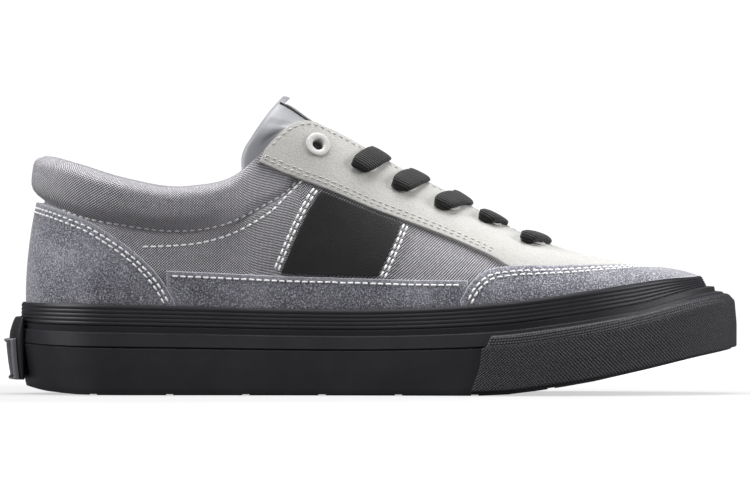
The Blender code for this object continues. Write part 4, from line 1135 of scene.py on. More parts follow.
def sewing_thread(name, colour, dark):
    """Twisted sewing thread."""
    material, tree, shader = finish(name, 0.7, Sheen_Weight=0.2)
    place = node(tree, "ShaderNodeTexCoord")
    spun = noise(tree, 4200.0, 2.0, place.outputs["Object"])
    tree.links.new(blend_colour(tree, spun.outputs[0], dark, colour), shader.inputs["Base Color"])
    relief(tree, shader, spun.outputs[0], 0.00008)
    return material


def coated_metal():
    """The grey lacquered eyelet ring."""
    material, tree, shader = finish("coated ring metal", 0.55, Coat_Weight=0.1, Coat_Roughness=0.35)
    worn = place_group(tree, HANDLING, {"Colour": grey(184, 1, -2), "Dust Colour": grey(120, 1, -2),
                                        "Amount": 0.3, "Patch Size": 0.002})
    tree.links.new(worn.outputs["Colour"], shader.inputs["Base Color"])
    relief(tree, shader, worn.outputs["Mask"], 0.00003)
    return material


# The last colour of each woven cloth is the painted shade in the gaps between its threads.
CANVAS = woven("grey canvas", CANVAS_THREAD, grey(236, 2, 4), grey(100, 3, 7), grey(56, 1, 3), depth=0.0002)
COLLAR_LINING = woven("collar lining", 0.0006, grey(170, 2, 5), grey(140, 2, 5), grey(70, 1, 3), depth=0.0001)
LINING = woven("dark lining", 0.0007, grey(84, 1, 3), grey(74, 1, 3), grey(40, 1, 2), depth=0.0001)
PALE_LINING = woven("pale tongue lining", 0.0007, grey(222, 1, 0), grey(206, 1, 0), grey(150, 1, 0),
                    depth=0.0001)
LABEL_CLOTH = woven("white label cloth", 0.00032, grey(248), grey(240), grey(205), roughness=0.7,
                    depth=0.00006)
FOOTBED_CLOTH = woven("footbed cloth", 0.0006, grey(66, 1, 2), grey(58, 1, 2), grey(28, 1, 1), depth=0.0001)
LACE_CLOTH = woven("black lace cotton", LACE_THREAD, grey(28, 1, -1), grey(14, 1, -1), grey(3), depth=0.0004,
                   turned=math.radians(45))
# The fourth colour of each suede is its edge tint: paler on the slate suede, partly a painted highlight;
# darker on the pale suede, partly painted shade.
SLATE_SUEDE = suede("slate suede", grey(101, 0, 8), grey(196, 0, 8), grey(38, 0, 7), grey(190, 0, 7),
                    0.00055, 1.0)
PALE_SUEDE = suede("pale suede", grey(167, 1, -3), grey(194, 1, -3), grey(136, 1, -3), grey(140, 1, -3),
                   0.00060, 0.4, 0.35)
BLACK_LEATHER = leather("black leather", grey(21), grey(60))
SATIN = satin_cloth("satin tongue cloth", grey(124, -1, 3), grey(160, -1, 3))
BLACK_RUBBER = rubber("black sole rubber", grey(20, 0, 6), grey(46, 0, 6), 0.46)
TREAD_RUBBER = rubber("black tread rubber", grey(34, 0, 2), grey(84, 0, 2), 0.7, 0.35)
TOE_RUBBER = moulded_rubber()
PLATE_RUBBER = rubber("heel plate rubber", grey(34, 0, 6), grey(60, 0, 6), 0.28, 0.25)
# The pale rim colour is a painted highlight along the plate's raised frame.
PLATE_RIM_HIGHLIGHT = rubber("heel plate rim highlight", grey(118, 0, 6), grey(70, 0, 6), 0.35, 0.35)
WHITE_THREAD = sewing_thread("white thread", grey(255), grey(228))
TONAL_THREAD = sewing_thread("pale thread", grey(214, 1, -3), grey(150, 1, -3))
GREY_THREAD = sewing_thread("grey thread", grey(250, 0, 3), grey(200, 0, 3))
# A black cord that stands in for the shade in the gap beside the tongue's front panel.
GAP_SHADE_CORD = sewing_thread("gap shade cord", grey(40), grey(18))
RING_METAL = coated_metal()


def add_object(name, data):
    """A new object in the scene."""
    made = bpy.data.objects.new(name, data)
    bpy.context.scene.collection.objects.link(made)
    return made


def as_piece(name, points, faces, material, slot, replaced=(), sharp=None):
    """A mesh piece of the shoe that rides with it."""
    mesh = bpy.data.meshes.new(name)
    mesh.from_pydata([tuple(p) for p in points], [], [tuple(f) for f in faces])
    mesh.update()
    for one in material if isinstance(material, (list, tuple)) else [material]:
        mesh.materials.append(one)
    piece = add_object(name, mesh)
    mesh.shade_smooth()
    if sharp:
        mesh.set_sharp_from_angle(angle=math.radians(sharp))
    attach(piece, "root")
    if replaced:
        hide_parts(*replaced)
    return piece


def face_outward(piece, close_ends=False):
    """Turns all faces of a closed piece outward, once its open ends are filled."""
    shell = bmesh.new()
    shell.from_mesh(piece.data)
    if close_ends:
        ends = [edge for edge in shell.edges if edge.is_boundary]
        bmesh.ops.holes_fill(shell, edges=ends, sides=0)
    bmesh.ops.recalc_face_normals(shell, faces=shell.faces)
    shell.to_mesh(piece.data)
    shell.free()


def grid_faces(rows, columns, join_columns=False, join_rows=False, start=0):
    """Faces of a grid of points, and the corner places that a UV map takes them from."""
    faces, corners = [], []
    for i in range(rows if join_rows else rows - 1):
        for j in range(columns if join_columns else columns - 1):
            square = ((i, j), (i, j + 1), (i + 1, j + 1), (i + 1, j))
            faces.append([start + (a % rows) * columns + b % columns for a, b in square])
            corners.append(square)
    return faces, corners


def write_uv(piece, uv_of_face):
    """Writes a UV map in metres, one pair for each face corner, in the faces' own order."""
    layer = piece.data.uv_layers.new(name="weave")
    layer.data.foreach_set("uv", np.asarray(uv_of_face, np.float32).ravel())


def write_values(piece, name, values):
    """Writes one number for each point of the piece."""
    layer = piece.data.attributes.new(name, "FLOAT", "POINT")
    layer.data.foreach_set("value", np.asarray(values, np.float32).ravel())


def distances(points, axis):
    """Distance along a grid of points, row by row or column by column."""
    steps = np.linalg.norm(np.diff(points, axis=axis), axis=-1)
    shape = list(steps.shape)
    shape[axis] = 1
    return np.concatenate([np.zeros(shape), np.cumsum(steps, axis=axis)], axis=axis)


def grid_piece(name, grid, material, slot, replaced=(), join_columns=False, join_rows=False, values=None,
               **looks):
    """A piece from one grid of points, with a UV map in metres."""
    rows, columns = grid.shape[:2]
    faces, corners = grid_faces(rows, columns, join_columns, join_rows)
    piece = as_piece(name, grid.reshape(-1, 3), faces, material, slot, replaced, **looks)
    closed_columns = np.concatenate([grid, grid[:, :1]], axis=1)
    closed = np.concatenate([closed_columns, closed_columns[:1]], axis=0)
    along = distances(closed, 1)
    middle = along[rows // 2]
    down = distances(closed, 0)
    uv = []
    for square in corners:
        uv += [(middle[b], down[a, min(b, columns)]) for a, b in square]
    write_uv(piece, uv)
    for key, numbers in (values or {}).items():
        write_values(piece, key, numbers)
    return piece


def grid_of(function, turns, drops, *more):
    """Runs a point function over a grid of turns and drops."""
    turns, drops = np.broadcast_arrays(turns, drops)
    flat = [np.broadcast_to(np.asarray(m, float), turns.shape).ravel() for m in more]
    return function(turns.ravel(), drops.ravel(), *flat).reshape(*turns.shape, 3)


# Seams round the ankle, as seen from the side: place along the shoe and height, as shares
# of the sole's length and of the instep height
COLLAR_SEAM = named_table(
    "along height",
    [
        (0.030, 0.712),
        (0.086, 0.654),
        (0.150, 0.622),
        (0.217, 0.602),
        (0.254, 0.607),
        (0.292, 0.629),
        (0.348, 0.702),
        (0.372, 0.739),
        (0.396, 0.804),
    ],
)
QUARTER_SEAM = named_table(
    "along height",
    [
        (0.170, 0.543),
        (0.217, 0.547),
        (0.254, 0.557),
        (0.302, 0.594),
        (0.330, 0.632),
        (0.358, 0.681),
        (0.376, 0.730),
        (0.403, 0.797),
    ],
)


def seam_drops(edge, turns):
    """Drop of a side seam at each turn, on both sides: not a number where no seam runs."""
    found = np.full(turns.shape, np.nan)
    for side in (-1, 1):
        line = resolve(edge, side, 40)
        order = np.argsort(line[:, 0])
        inside = (turns >= line[order[0], 0]) & (turns <= line[order[-1], 0])
        found[inside] = np.interp(turns[inside], line[order, 0], line[order, 1])
    return found


def heel_drop(turns):
    """Drop of the collar's seam across the back of the heel."""
    line = resolve(COLLAR_SEAM, -1, 40)
    start = line[0]
    back = COLLAR_DEPTH * 1.02
    away = np.minimum(turns, 1 - turns) / start[0]
    return np.where(away <= 1, back + (start[1] - back) * np.clip(away, 0, 1) ** 2, np.nan)


def dimple(away, depth, width):
    """A soft groove beside a line."""
    return -depth * np.exp(-((away / width) ** 2))


SEAM_TURNS = np.linspace(0, 1, 1201)
COLLAR_DROPS = seam_drops(COLLAR_SEAM, SEAM_TURNS)
COLLAR_DROPS = np.where(np.isnan(COLLAR_DROPS), heel_drop(SEAM_TURNS), COLLAR_DROPS)
QUARTER_DROPS = seam_drops(QUARTER_SEAM, SEAM_TURNS)


def collar_relief(turn, drop):
    """How far the canvas stands out from its smooth face: the padded collar swells above its
    seam, dips at the stitching and has a few soft creases."""
    turn = np.asarray(turn, float)
    drop = np.asarray(drop, float)
    seam = np.interp(np.mod(turn, 1.0), SEAM_TURNS, np.nan_to_num(COLLAR_DROPS, nan=9.0))
    quarter = np.interp(np.mod(turn, 1.0), SEAM_TURNS, np.nan_to_num(QUARTER_DROPS, nan=9.0))
    out = dimple(drop - seam, 0.0019, 0.0014) + dimple(drop - quarter, 0.0003, 0.0010)
    above = np.clip((seam - drop) / COLLAR_DEPTH, 0, 1)
    swell = 0.0026 * smooth_step(0.0, 0.28, above) * (seam < 1.0) * collar_share(turn)
    fade = smooth_step(0.0, 0.25, drop / COLLAR_DEPTH)
    side = np.minimum(np.mod(turn, 1.0), 1 - np.mod(turn, 1.0))
    creases = 0.0
    for place, slant, width, depth in ((0.024, 0.10, 0.0035, 0.00025), (0.052, -0.25, 0.005, 0.0002),
                                       (0.205, 0.5, 0.006, 0.0002)):
        away = (side - place) * 2 * SOLE_LENGTH + slant * drop
        creases = creases + dimple(away, depth, width)
    return out + (swell + creases * collar_share(turn)) * fade


def canvas_face(turn, drop, out=0.0):
    """A point on the visible canvas, or a distance out from it."""
    return raised(turn, drop, collar_relief(turn, drop) + out)


def eyelet_cutter(pairs):
    """One hidden mesh of all twelve eyelet holes."""
    points, faces = [], []
    sides = 24
    for pair in pairs:
        for centre, normal, _, _ in pair:
            matrix = turned_frame(centre, normal)
            start = len(points)
            for height in (-0.006, 0.006):
                for i in range(sides):
                    angle = 2 * math.pi * i / sides
                    spot = (EYELET_HOLE * math.cos(angle), EYELET_HOLE * math.sin(angle), height)
                    points.append(matrix @ Vector(spot))
            faces.append([start + i for i in reversed(range(sides))])
            faces.append([start + sides + i for i in range(sides)])
            for i in range(sides):
                j = (i + 1) % sides
                faces.append([start + i, start + j, start + sides + j, start + sides + i])
    mesh = bpy.data.meshes.new("eyelet holes")
    mesh.from_pydata(points, [], faces)
    cutter = add_object("eyelet_holes", mesh)
    return cutter


def cut_eyelets(piece, cutter):
    """Cuts the eyelet holes through a piece and keeps its UV map."""
    hole = piece.modifiers.new("holes", "BOOLEAN")
    hole.operation = "DIFFERENCE"
    hole.solver = "EXACT"
    hole.object = cutter
    bpy.context.view_layer.update()
    graph = bpy.context.evaluated_depsgraph_get()
    cut = bpy.data.meshes.new_from_object(piece.evaluated_get(graph), preserve_all_data_layers=True,
                                          depsgraph=graph)
    piece.modifiers.clear()
    piece.data = cut


def round_turns(count):
    """Turns round the sole, closer together along its sides."""
    even = np.arange(count) / count
    return even + 0.30 * np.sin(4 * np.pi * even) / (4 * np.pi)


def make_upper(cutter):
    """The canvas upper with its padded collar and dark lining, one closed wall."""
    turns = round_turns(TURNS)
    lengths = profile_length(turns)
    near = np.array([0.0, 0.003, 0.009, 0.018, 0.03, 0.045, 0.065, 0.09, 0.12, 0.16,
                     0.2, 0.26, 0.33, 0.42, 0.52, 0.62, 0.72, 0.82, 0.91, 1.0]) * COLLAR_DEPTH
    below = np.linspace(0, 1, 44)[1:]
    outer = [canvas_face(turns, np.full(TURNS, drop)) for drop in near]
    outer += [canvas_face(turns, near[-1] + (lengths - near[-1]) * share) for share in below]
    floor = ground(along_of(turns)) + OUTSOLE_THICKNESS + SEAT_GAP
    outer.append(np.column_stack([feather(turns), floor]))
    inner_near = near[1:]
    inside = [inner(turns, np.full(TURNS, drop)) for drop in inner_near]
    deeper = np.linspace(0, 0.95, 16)[1:]
    inside += [inner(turns, inner_near[-1] + (lengths - inner_near[-1]) * share) for share in deeper]
    inner_foot = feather(turns, UPPER_WALL)
    shoulder = np.minimum(floor + 0.5 * (rim(along_of(turns)) - floor), inside[-1][:, 2] - UPPER_WALL)
    inside.append(np.column_stack([inner_foot, shoulder]))
    inside.append(np.column_stack([inner_foot, floor]))
    grid = np.array(outer + inside[::-1])
    piece = grid_piece("canvas_upper", grid, [CANVAS, COLLAR_LINING, LINING], "grey_canvas", ("upper",),
                       True, True)
    collar_rows = 17  # rows of pale lining below the inside of the collar's edge
    cloths = [0] * (len(outer) + 1) + [2] * (len(inside) - 1 - collar_rows) + [1] * collar_rows
    piece.data.polygons.foreach_set("material_index", np.repeat(cloths, TURNS).astype(np.int32))
    face_outward(piece)
    cut_eyelets(piece, cutter)


# Places in from a cut edge at which its rounding is drawn
CUT_PLACES = np.array([0.0, 0.00003, 0.0001, 0.0003, CUT_EDGE])


def rim_height(distance):
    """Height of a cut piece's face near its edge, as a share of its thickness."""
    return np.interp(distance, CUT_PLACES, (0.0, 0.75, 0.92, 0.99, 1.0))


def across_places(length, pitch):
    """Shares across a piece, closer together at its two edges."""
    near = CUT_PLACES[CUT_PLACES < 0.4 * length] / length
    count = max(3, int(length / pitch))
    middle = np.linspace(near[-1], 1 - near[-1], count)[1:-1]
    return np.concatenate([near, middle, 1 - near[::-1]])


def overlay_piece(name, lower, upper, material, slot, replaced, rows, pitch=0.0022, lift=0.00015,
                  thickness=OVERLAY_GAP + OVERLAY):
    """A panel with rounded cut edges on the canvas, between two edges given as turns and drops."""
    scale = np.array([2 * SOLE_LENGTH, 1.0])
    lower, upper = np.array(lower, float), np.array(upper, float)
    seen = skin(upper[:, 0], upper[:, 1])
    length = np.linalg.norm(np.diff(seen, axis=0), axis=1).sum()
    columns = across_places(length, pitch)
    low = smooth_path(lower * scale, columns) / scale
    high = smooth_path(upper * scale, columns) / scale
    width = np.linalg.norm(raised(low[:, 0], low[:, 1]) - raised(high[:, 0], high[:, 1]), axis=1)
    width = np.maximum(width, 1e-4)
    shares = []
    for distance in CUT_PLACES:
        shares.append(np.minimum(distance / width, 0.4 * distance / CUT_EDGE))
    first, last = shares[-1], 1 - shares[-1]
    for k in np.linspace(0, 1, rows)[1:-1]:
        shares.append(first + (last - first) * k)
    for distance in CUT_PLACES[::-1]:
        shares.append(1 - np.minimum(distance / width, 0.4 * distance / CUT_EDGE))
    shares = np.array(shares)
    turns = low[None, :, 0] + (high - low)[None, :, 0] * shares
    drops = low[None, :, 1] + (high - low)[None, :, 1] * shares
    from_rows = np.minimum(shares, 1 - shares) * width
    from_ends = np.minimum(columns, 1 - columns)[None, :] * length
    edge = np.minimum(from_rows, from_ends)
    height = lift + (thickness - lift) * rim_height(from_rows) * rim_height(from_ends)
    outer = grid_of(raised, turns, drops, height)
    back = grid_of(raised, turns, drops, np.full(turns.shape, lift * 0.5))
    # Mask for the edge tint, which is partly the raw edge and partly painted rim highlight and shade.
    near_rim = np.clip(1 - edge / 0.0007, 0, 1)
    return closed_sheet(name, outer, back, material, slot, replaced, {"rim": near_rim})


def closed_sheet(name, outer, back, material, slot, replaced=(), values=None, sharp=None):
    """A closed piece between two matching grids, with a UV map in metres."""
    rows, columns = outer.shape[:2]
    points = np.concatenate([outer.reshape(-1, 3), back.reshape(-1, 3)])
    under = rows * columns
    faces, corners = grid_faces(rows, columns)
    more, more_corners = grid_faces(rows, columns, start=under)
    faces += [face[::-1] for face in more]
    corners += [corner[::-1] for corner in more_corners]
    border = [(0, j) for j in range(columns)]
    border += [(i, columns - 1) for i in range(1, rows)]
    border += [(rows - 1, j) for j in reversed(range(columns - 1))]
    border += [(i, 0) for i in reversed(range(1, rows - 1))]
    for a, b in zip(border, border[1:] + border[:1]):
        first, second = a[0] * columns + a[1], b[0] * columns + b[1]
        faces.append([second, first, under + first, under + second])
        corners.append((b, a, a, b))
    piece = as_piece(name, points, faces, material, slot, replaced, sharp=sharp)
    middle = distances(outer, 1)[rows // 2]
    down = distances(outer, 0)
    write_uv(piece, [(middle[b], down[a, b]) for corner in corners for a, b in corner])
    for key, numbers in (values or {}).items():
        write_values(piece, key, np.concatenate([np.ravel(numbers), np.ravel(numbers)]))
    face_outward(piece)
    return piece


def counter_edges():
    """Upper edge of the heel counter from one side round the back to the other."""
    halves = {side: resolve(COUNTER_EDGE, side, 12) for side in (-1, 1)}
    back = [[0.0, COLLAR_DEPTH + COLLAR_SEAM_GAP]]
    medial = halves[1][::-1].copy()
    medial[:, 0] -= 1.0
    through = resample_edge(np.concatenate([medial[::2], back, halves[-1][1::2]]), 61)
    lengths = profile_length(through[:, 0])
    drops = np.clip(through[:, 1], COLLAR_DEPTH + COLLAR_SEAM_GAP, lengths - PANEL_NARROW)
    upper = np.column_stack([through[:, 0], drops])
    lower = np.column_stack([through[:, 0], lengths + TUCK])
    return lower, upper


def mudguard_edges():
    """Lower and upper edge of the mudguard."""
    upper = mudguard_edge()
    lengths = profile_length(upper[:, 0])
    lower = np.column_stack([upper[:, 0], lengths + TUCK])
    upper[:, 1] = np.minimum(upper[:, 1], lower[:, 1] - PANEL_NARROW)
    return lower, upper


def side_strip_edges(side):
    """Lower and upper edge of a side strip."""
    upper = resolve(SIDE_STRIP_EDGE, side, 24)
    away = STRIP_SETBACK / SOLE_LENGTH
    counter_foot = COUNTER_EDGE["height"][-1] * INSTEP_HEIGHT
    mudguard_foot = MUDGUARD_EDGE["height"][0] * INSTEP_HEIGHT
    rear = on_side(COUNTER_EDGE["along"][-1] - 2 * away, counter_foot, side)[0]
    front = on_side(MUDGUARD_EDGE["along"][0] + 2 * away, mudguard_foot, side)[0]
    turns = np.linspace(rear[0], front[0], 24)
    lower = np.column_stack([turns, profile_length(turns) + TUCK])
    return lower, upper


# Points of the eyestay's lower edge on each side, behind the mudguard
STAY_POINTS = 16


def eyestay_edges():
    """Lower and upper edge of the eyestay, from the outer side round the toe to the inner."""
    front_cut = mudguard_edge()
    lateral = resolve(EYESTAY_EDGE, -1, STAY_POINTS)
    medial = resolve(EYESTAY_EDGE, 1, STAY_POINTS)[::-1]
    inside = (front_cut[:, 0] > lateral[-1, 0] + 0.004) & (front_cut[:, 0] < medial[0, 0] - 0.004)
    front = front_cut[inside]
    front[:, 1] += 2 * PANEL_GAP
    lower = np.concatenate([lateral, front, medial])
    tops = [throat_turn(0.345, -1), *lower[1:-1, 0], throat_turn(0.345, 1)]
    upper = np.column_stack([tops, np.full(len(tops), 0.0003)])
    return lower, upper


def moved(place, step):
    """The turns and drops reached from given ones by moving a small vector over the face."""
    place = np.array(place, float)
    goal = skin(place[:, 0], place[:, 1]) + step
    size = np.array([1 / (2 * SOLE_LENGTH), 1.0])
    for _ in range(4):
        here = skin(place[:, 0], place[:, 1])
        across = (skin(place[:, 0] + 4e-4, place[:, 1]) - here) / 4e-4 * size[0]
        low = np.maximum(place[:, 1] - 4e-4, 0)
        down = (skin(place[:, 0], low + 4e-4) - skin(place[:, 0], low)) / 4e-4
        away = goal - here
        aa = (across * across).sum(1)
        bb = (down * down).sum(1)
        ab = (across * down).sum(1)
        ra = (across * away).sum(1)
        rb = (down * away).sum(1)
        fixed = np.maximum(aa * bb - ab * ab, 1e-9)
        place[:, 0] += (ra * bb - rb * ab) / fixed * size[0]
        place[:, 1] += (rb * aa - ra * ab) / fixed
        place[:, 1] = np.clip(place[:, 1], 0.0002, None)
    return place


def inset_line(edge, distance, count=160, low=0.0, high=1.0):
    """A line inside a panel's edge, a distance from it over the face."""
    scale = np.array([2 * SOLE_LENGTH, 1.0])
    line = smooth_path(np.array(edge) * scale, np.linspace(low, high, count)) / scale
    points = skin(line[:, 0], line[:, 1])
    tangent = np.gradient(points, axis=0)
    normal = skin_normal(line[:, 0], line[:, 1])
    sideways = np.cross(tangent, normal)
    sideways /= np.linalg.norm(sideways, axis=1, keepdims=True)
    return moved(line, sideways * distance)


def thread_rows(lines, lift, pitch=STITCH_PITCH, length=STITCH_LENGTH, radius=THREAD_RADIUS, face=raised):
    """Stitches along lines of turns and drops: short threads that dip in at both ends."""
    chance = random.Random(STITCH_SEED)
    places = ((-0.5, 0.25, -0.9), (-0.42, 0.85, 0.0), (0.0, 1.0, 0.75), (0.42, 0.85, 0.0), (0.5, 0.25, -0.9))
    sides = 6
    points, faces = [], []
    for line in lines:
        line = np.asarray(line, float)
        seen = face(line[:, 0], line[:, 1], np.full(len(line), lift))
        reached = distances(seen[None], 1)[0]
        count = int(reached[-1] / pitch)
        if count < 1:
            continue
        start = (reached[-1] - count * pitch) / 2
        centres = start + pitch * (np.arange(count) + 0.5)
        centres += np.array([chance.uniform(-0.03, 0.03) for _ in range(count)]) * pitch
        at = (centres[:, None] + np.array([p[0] for p in places])[None] * length).ravel()
        turns = np.interp(at, reached, line[:, 0])
        drops = np.interp(at, reached, line[:, 1])
        outs = lift + radius * np.tile([p[2] for p in places], count)
        middle = face(turns, drops, outs).reshape(count, len(places), 3)
        normal = skin_normal(turns, drops).reshape(count, len(places), 3)
        tangent = np.gradient(middle, axis=1)
        tangent /= np.linalg.norm(tangent, axis=2, keepdims=True)
        sideways = np.cross(tangent, normal)
        sideways /= np.linalg.norm(sideways, axis=2, keepdims=True)
        radii = radius * np.array([p[1] for p in places])[None, :, None]
        rings = []
        for k in range(sides):
            angle = 2 * math.pi * k / sides
            rings.append(middle + (sideways * math.cos(angle) + normal * math.sin(angle)) * radii)
        rings = np.stack(rings, axis=2)
        first = sum(len(p) for p in points)
        points.append(rings.reshape(-1, 3))
        ring_count = len(places)
        for s in range(count):
            base = first + s * ring_count * sides
            for r in range(ring_count - 1):
                for k in range(sides):
                    a, b = base + r * sides + k, base + r * sides + (k + 1) % sides
                    faces.append((a, b, b + sides, a + sides))
            faces.append([base + k for k in reversed(range(sides))])
            faces.append([base + (ring_count - 1) * sides + k for k in range(sides)])
    return np.concatenate(points), faces


def stitch_piece(name, lines, lift, material, slot, **sizes):
    """One piece of sewing thread: all the stitches along its lines."""
    points, faces = thread_rows(lines, lift, **sizes)
    piece = as_piece(name, points, faces, material, slot)
    face_outward(piece)
    return piece


def make_panels(cutter):
    """The suede and leather pieces of the upper, with their stitching."""
    face = OVERLAY_GAP + OVERLAY
    lower, upper = counter_edges()
    overlay_piece("suede_counter", lower, upper, SLATE_SUEDE, "slate_suede", ("heel_counter",), 22)
    rows = [inset_line(upper, d, 240, 0.005, 0.995) for d in (0.0022, 0.0040)]
    stitch_piece("counter_stitches", rows, face, WHITE_THREAD, "white_label")

    lower, upper = mudguard_edges()
    overlay_piece("suede_mudguard", lower, upper, SLATE_SUEDE, "slate_suede", ("mudguard",), 14, lift=0.0003,
                  thickness=face + 0.0004)
    rows = [inset_line(upper, d, 300, 0.004, 0.996) for d in (0.0028, 0.0045)]
    stitch_piece("mudguard_stitches", rows, face + 0.0004, WHITE_THREAD, "white_label")

    for side, word in ((-1, "lateral"), (1, "medial")):
        lower, upper = side_strip_edges(side)
        overlay_piece("suede_strip_" + word, lower, upper, SLATE_SUEDE, "slate_suede",
                      ("side_strip_" + word,), 8, thickness=face - 0.0003)
        rows = [inset_line(upper, -0.0020 * side, 160, 0.01, 0.985)]
        stitch_piece("strip_stitches_" + word, rows, face - 0.0003, WHITE_THREAD, "white_label")

        foot = resolve(SADDLE_FOOT, side, 24)
        head = resolve(SADDLE_HEAD, side, 24)
        overlay_piece("leather_band_" + word, foot, head, BLACK_LEATHER, "black_leather",
                      ("saddle_" + word,), 40)
        edges = []
        for end, turned in ((0, -1), (-1, 1)):
            line = foot[end] + (head[end] - foot[end]) * np.linspace(0, 1, 30)[:, None]
            for distance in (0.0014, 0.0030):
                edges.append(inset_line(line, -distance * turned * side, 90))
        stitch_piece("band_stitches_" + word, edges, face, WHITE_THREAD, "white_label")

    lower, upper = eyestay_edges()
    stay = overlay_piece("suede_eyestay", lower, upper, PALE_SUEDE, "pale_suede", ("eyestay",), 26,
                         pitch=0.0018, lift=0.0004, thickness=EYESTAY_GAP + OVERLAY)
    cut_eyelets(stay, cutter)
    face = EYESTAY_GAP + OVERLAY
    lines = []
    for distance in (0.0021, 0.0037):
        for side_edge in (lower[:STAY_POINTS], lower[-STAY_POINTS:]):
            lines.append(inset_line(side_edge, -distance, 120))
    for side in (-1, 1):
        rear = [throat_turn(0.345, side), 0.0003]
        low = lower[0] if side < 0 else lower[-1]
        back = rear + (np.array(low) - rear) * np.linspace(0.04, 0.98, 20)[:, None]
        lines.append(inset_line(back, 0.0014 * side, 40))
        turns = np.linspace(throat_turn(0.352, side), throat_turn(0.70, side), 200)
        lines.append(np.column_stack([turns, np.full(200, 0.0020)]))
    stitch_piece("eyestay_stitches", lines, face, TONAL_THREAD, "pale_suede", pitch=0.0029, length=0.0020,
                 radius=0.00024)


def make_collar_stitches():
    """Stitching that holds the collar's padding, and the row below it."""
    lines = []
    for side in (-1, 1):
        lines.append(resolve(COLLAR_SEAM, side, 170)[12:])
    stitch_piece("collar_stitches", lines, 0.0003, GREY_THREAD, "white_label", face=canvas_face,
                 length=0.0023)
    lines = [resolve(QUARTER_SEAM, side, 160) for side in (-1, 1)]
    stitch_piece("quarter_stitches", lines, 0.0001, WHITE_THREAD, "white_label", face=canvas_face,
                 length=0.0023)


def make_foxing():
    """The sole's rubber wall: smooth lower band, two steps and a finely ribbed top band."""
    turns = round_turns(520)
    along = along_of(turns)
    rows = []
    for k in range(RIBS_START):
        steps = 10 if k in (1, 2) else (6 if k == 5 else 4)
        rows += list(np.linspace(k, k + 1, steps + 1)[:-1])
    rows = np.array(rows)
    grooves = GROOVE_DEPTH * np.interp(rows, np.arange(len(BANDS["groove"])), BANDS["groove"])
    outer = [foxing_face(turns, row, -groove) for row, groove in zip(rows, grooves)]
    low, high = ground(along), rim(along)
    toe = smooth_step(0.86, 1.0, along)
    heel = 1 - smooth_step(0.0, 0.12, along)
    side_start, toe_start = BANDS["side"][RIBS_START], BANDS["toe"][RIBS_START]
    for k in np.linspace(0, 1, 56):
        side_share = side_start + (0.985 - side_start) * k
        toe_share = toe_start + (0.988 - toe_start) * k
        share = side_share + (toe_share - side_share) * toe
        lean_share = 0.84 + 0.15 * k
        bump = FINE_RIB_HEIGHT * abs(math.sin(math.pi * FINE_RIBS * k)) ** 0.8
        if k < 0.02:
            bump = -0.6 * GROOVE_DEPTH
        plan = outline(turns) + outward(turns) * (bump - lean(along) * lean_share)[:, None]
        outer.append(np.column_stack([plan, low + (high - low) * share]))
    edge = outline(turns) - outward(turns) * (lean(along) + 0.0003)[:, None]
    outer.append(np.column_stack([edge, high]))
    pocket = feather(turns) + outward(turns) * (OVERLAY_GAP + OVERLAY + 2 * SEAT_GAP)
    shelf = low + OUTSOLE_THICKNESS
    foot = outline(turns) - outward(turns) * (FOXING_BASE + HEEL_UNDERCUT * heel)[:, None]
    for place, height in ((pocket, high - 0.0001), (pocket, shelf), (foot, shelf), (foot, low)):
        outer.append(np.column_stack([place, height]))
    piece = grid_piece("rubber_foxing", np.array(outer), BLACK_RUBBER, "black_rubber", ("foxing",), True,
                       True, sharp=50)
    face_outward(piece)


def make_bumper():
    """The moulded strip round the toe."""
    rear_low, rear_high = 0.632, 0.660
    edge_rows = (0.60, 0.62, 0.70, 0.90, 5.55, 5.66, 5.74, 5.80)
    edge_rises = (0.05, 0.60, 0.90, 1.00, 1.00, 0.95, 0.75, 0.10)
    rows = np.concatenate([edge_rows[:3], np.linspace(edge_rows[3], edge_rows[4], 34), edge_rows[5:]])
    share_at = np.interp(rows, (0.6, 1.0, 2.0, 5.0, 5.8), (0.0, 0.05, 0.45, 0.80, 1.0))
    columns = np.linspace(0.006, 0.994, 260)
    columns = np.concatenate([[0, 0.0004, 0.0012, 0.003], columns, [0.997, 0.9988, 0.9996, 1.0]])
    outer, back, height_share = [], [], []
    for row, share in zip(rows, share_at):
        rear = rear_low + (rear_high - rear_low) * share
        ends = turn_of(rear, -1), turn_of(rear, 1)
        turns = ends[0] + (ends[1] - ends[0]) * columns
        rise = np.interp(row, edge_rows, edge_rises)
        ends_rise = np.interp(np.minimum(columns, 1 - columns), (0, 0.0004, 0.0012, 0.003),
                              (0.05, 0.6, 0.9, 1.0))
        thick = BUMPER_THICKNESS * rise * ends_rise
        outer.append(foxing_face(turns, row, 0.0001 + OVERLAY_GAP * rise + thick))
        back.append(foxing_face(turns, row, 0.00005))
        height_share.append(np.full(len(columns), share))
    outer, back = np.array(outer), np.array(back)
    front = np.broadcast_to((np.abs(columns - 0.5) < 0.085)[None], outer.shape[:2])
    closed_sheet("moulded_bumper", outer, back, TOE_RUBBER, "black_rubber", ("toe_bumper",),
                 {"height_share": np.array(height_share), "toe_front": front}, sharp=50)


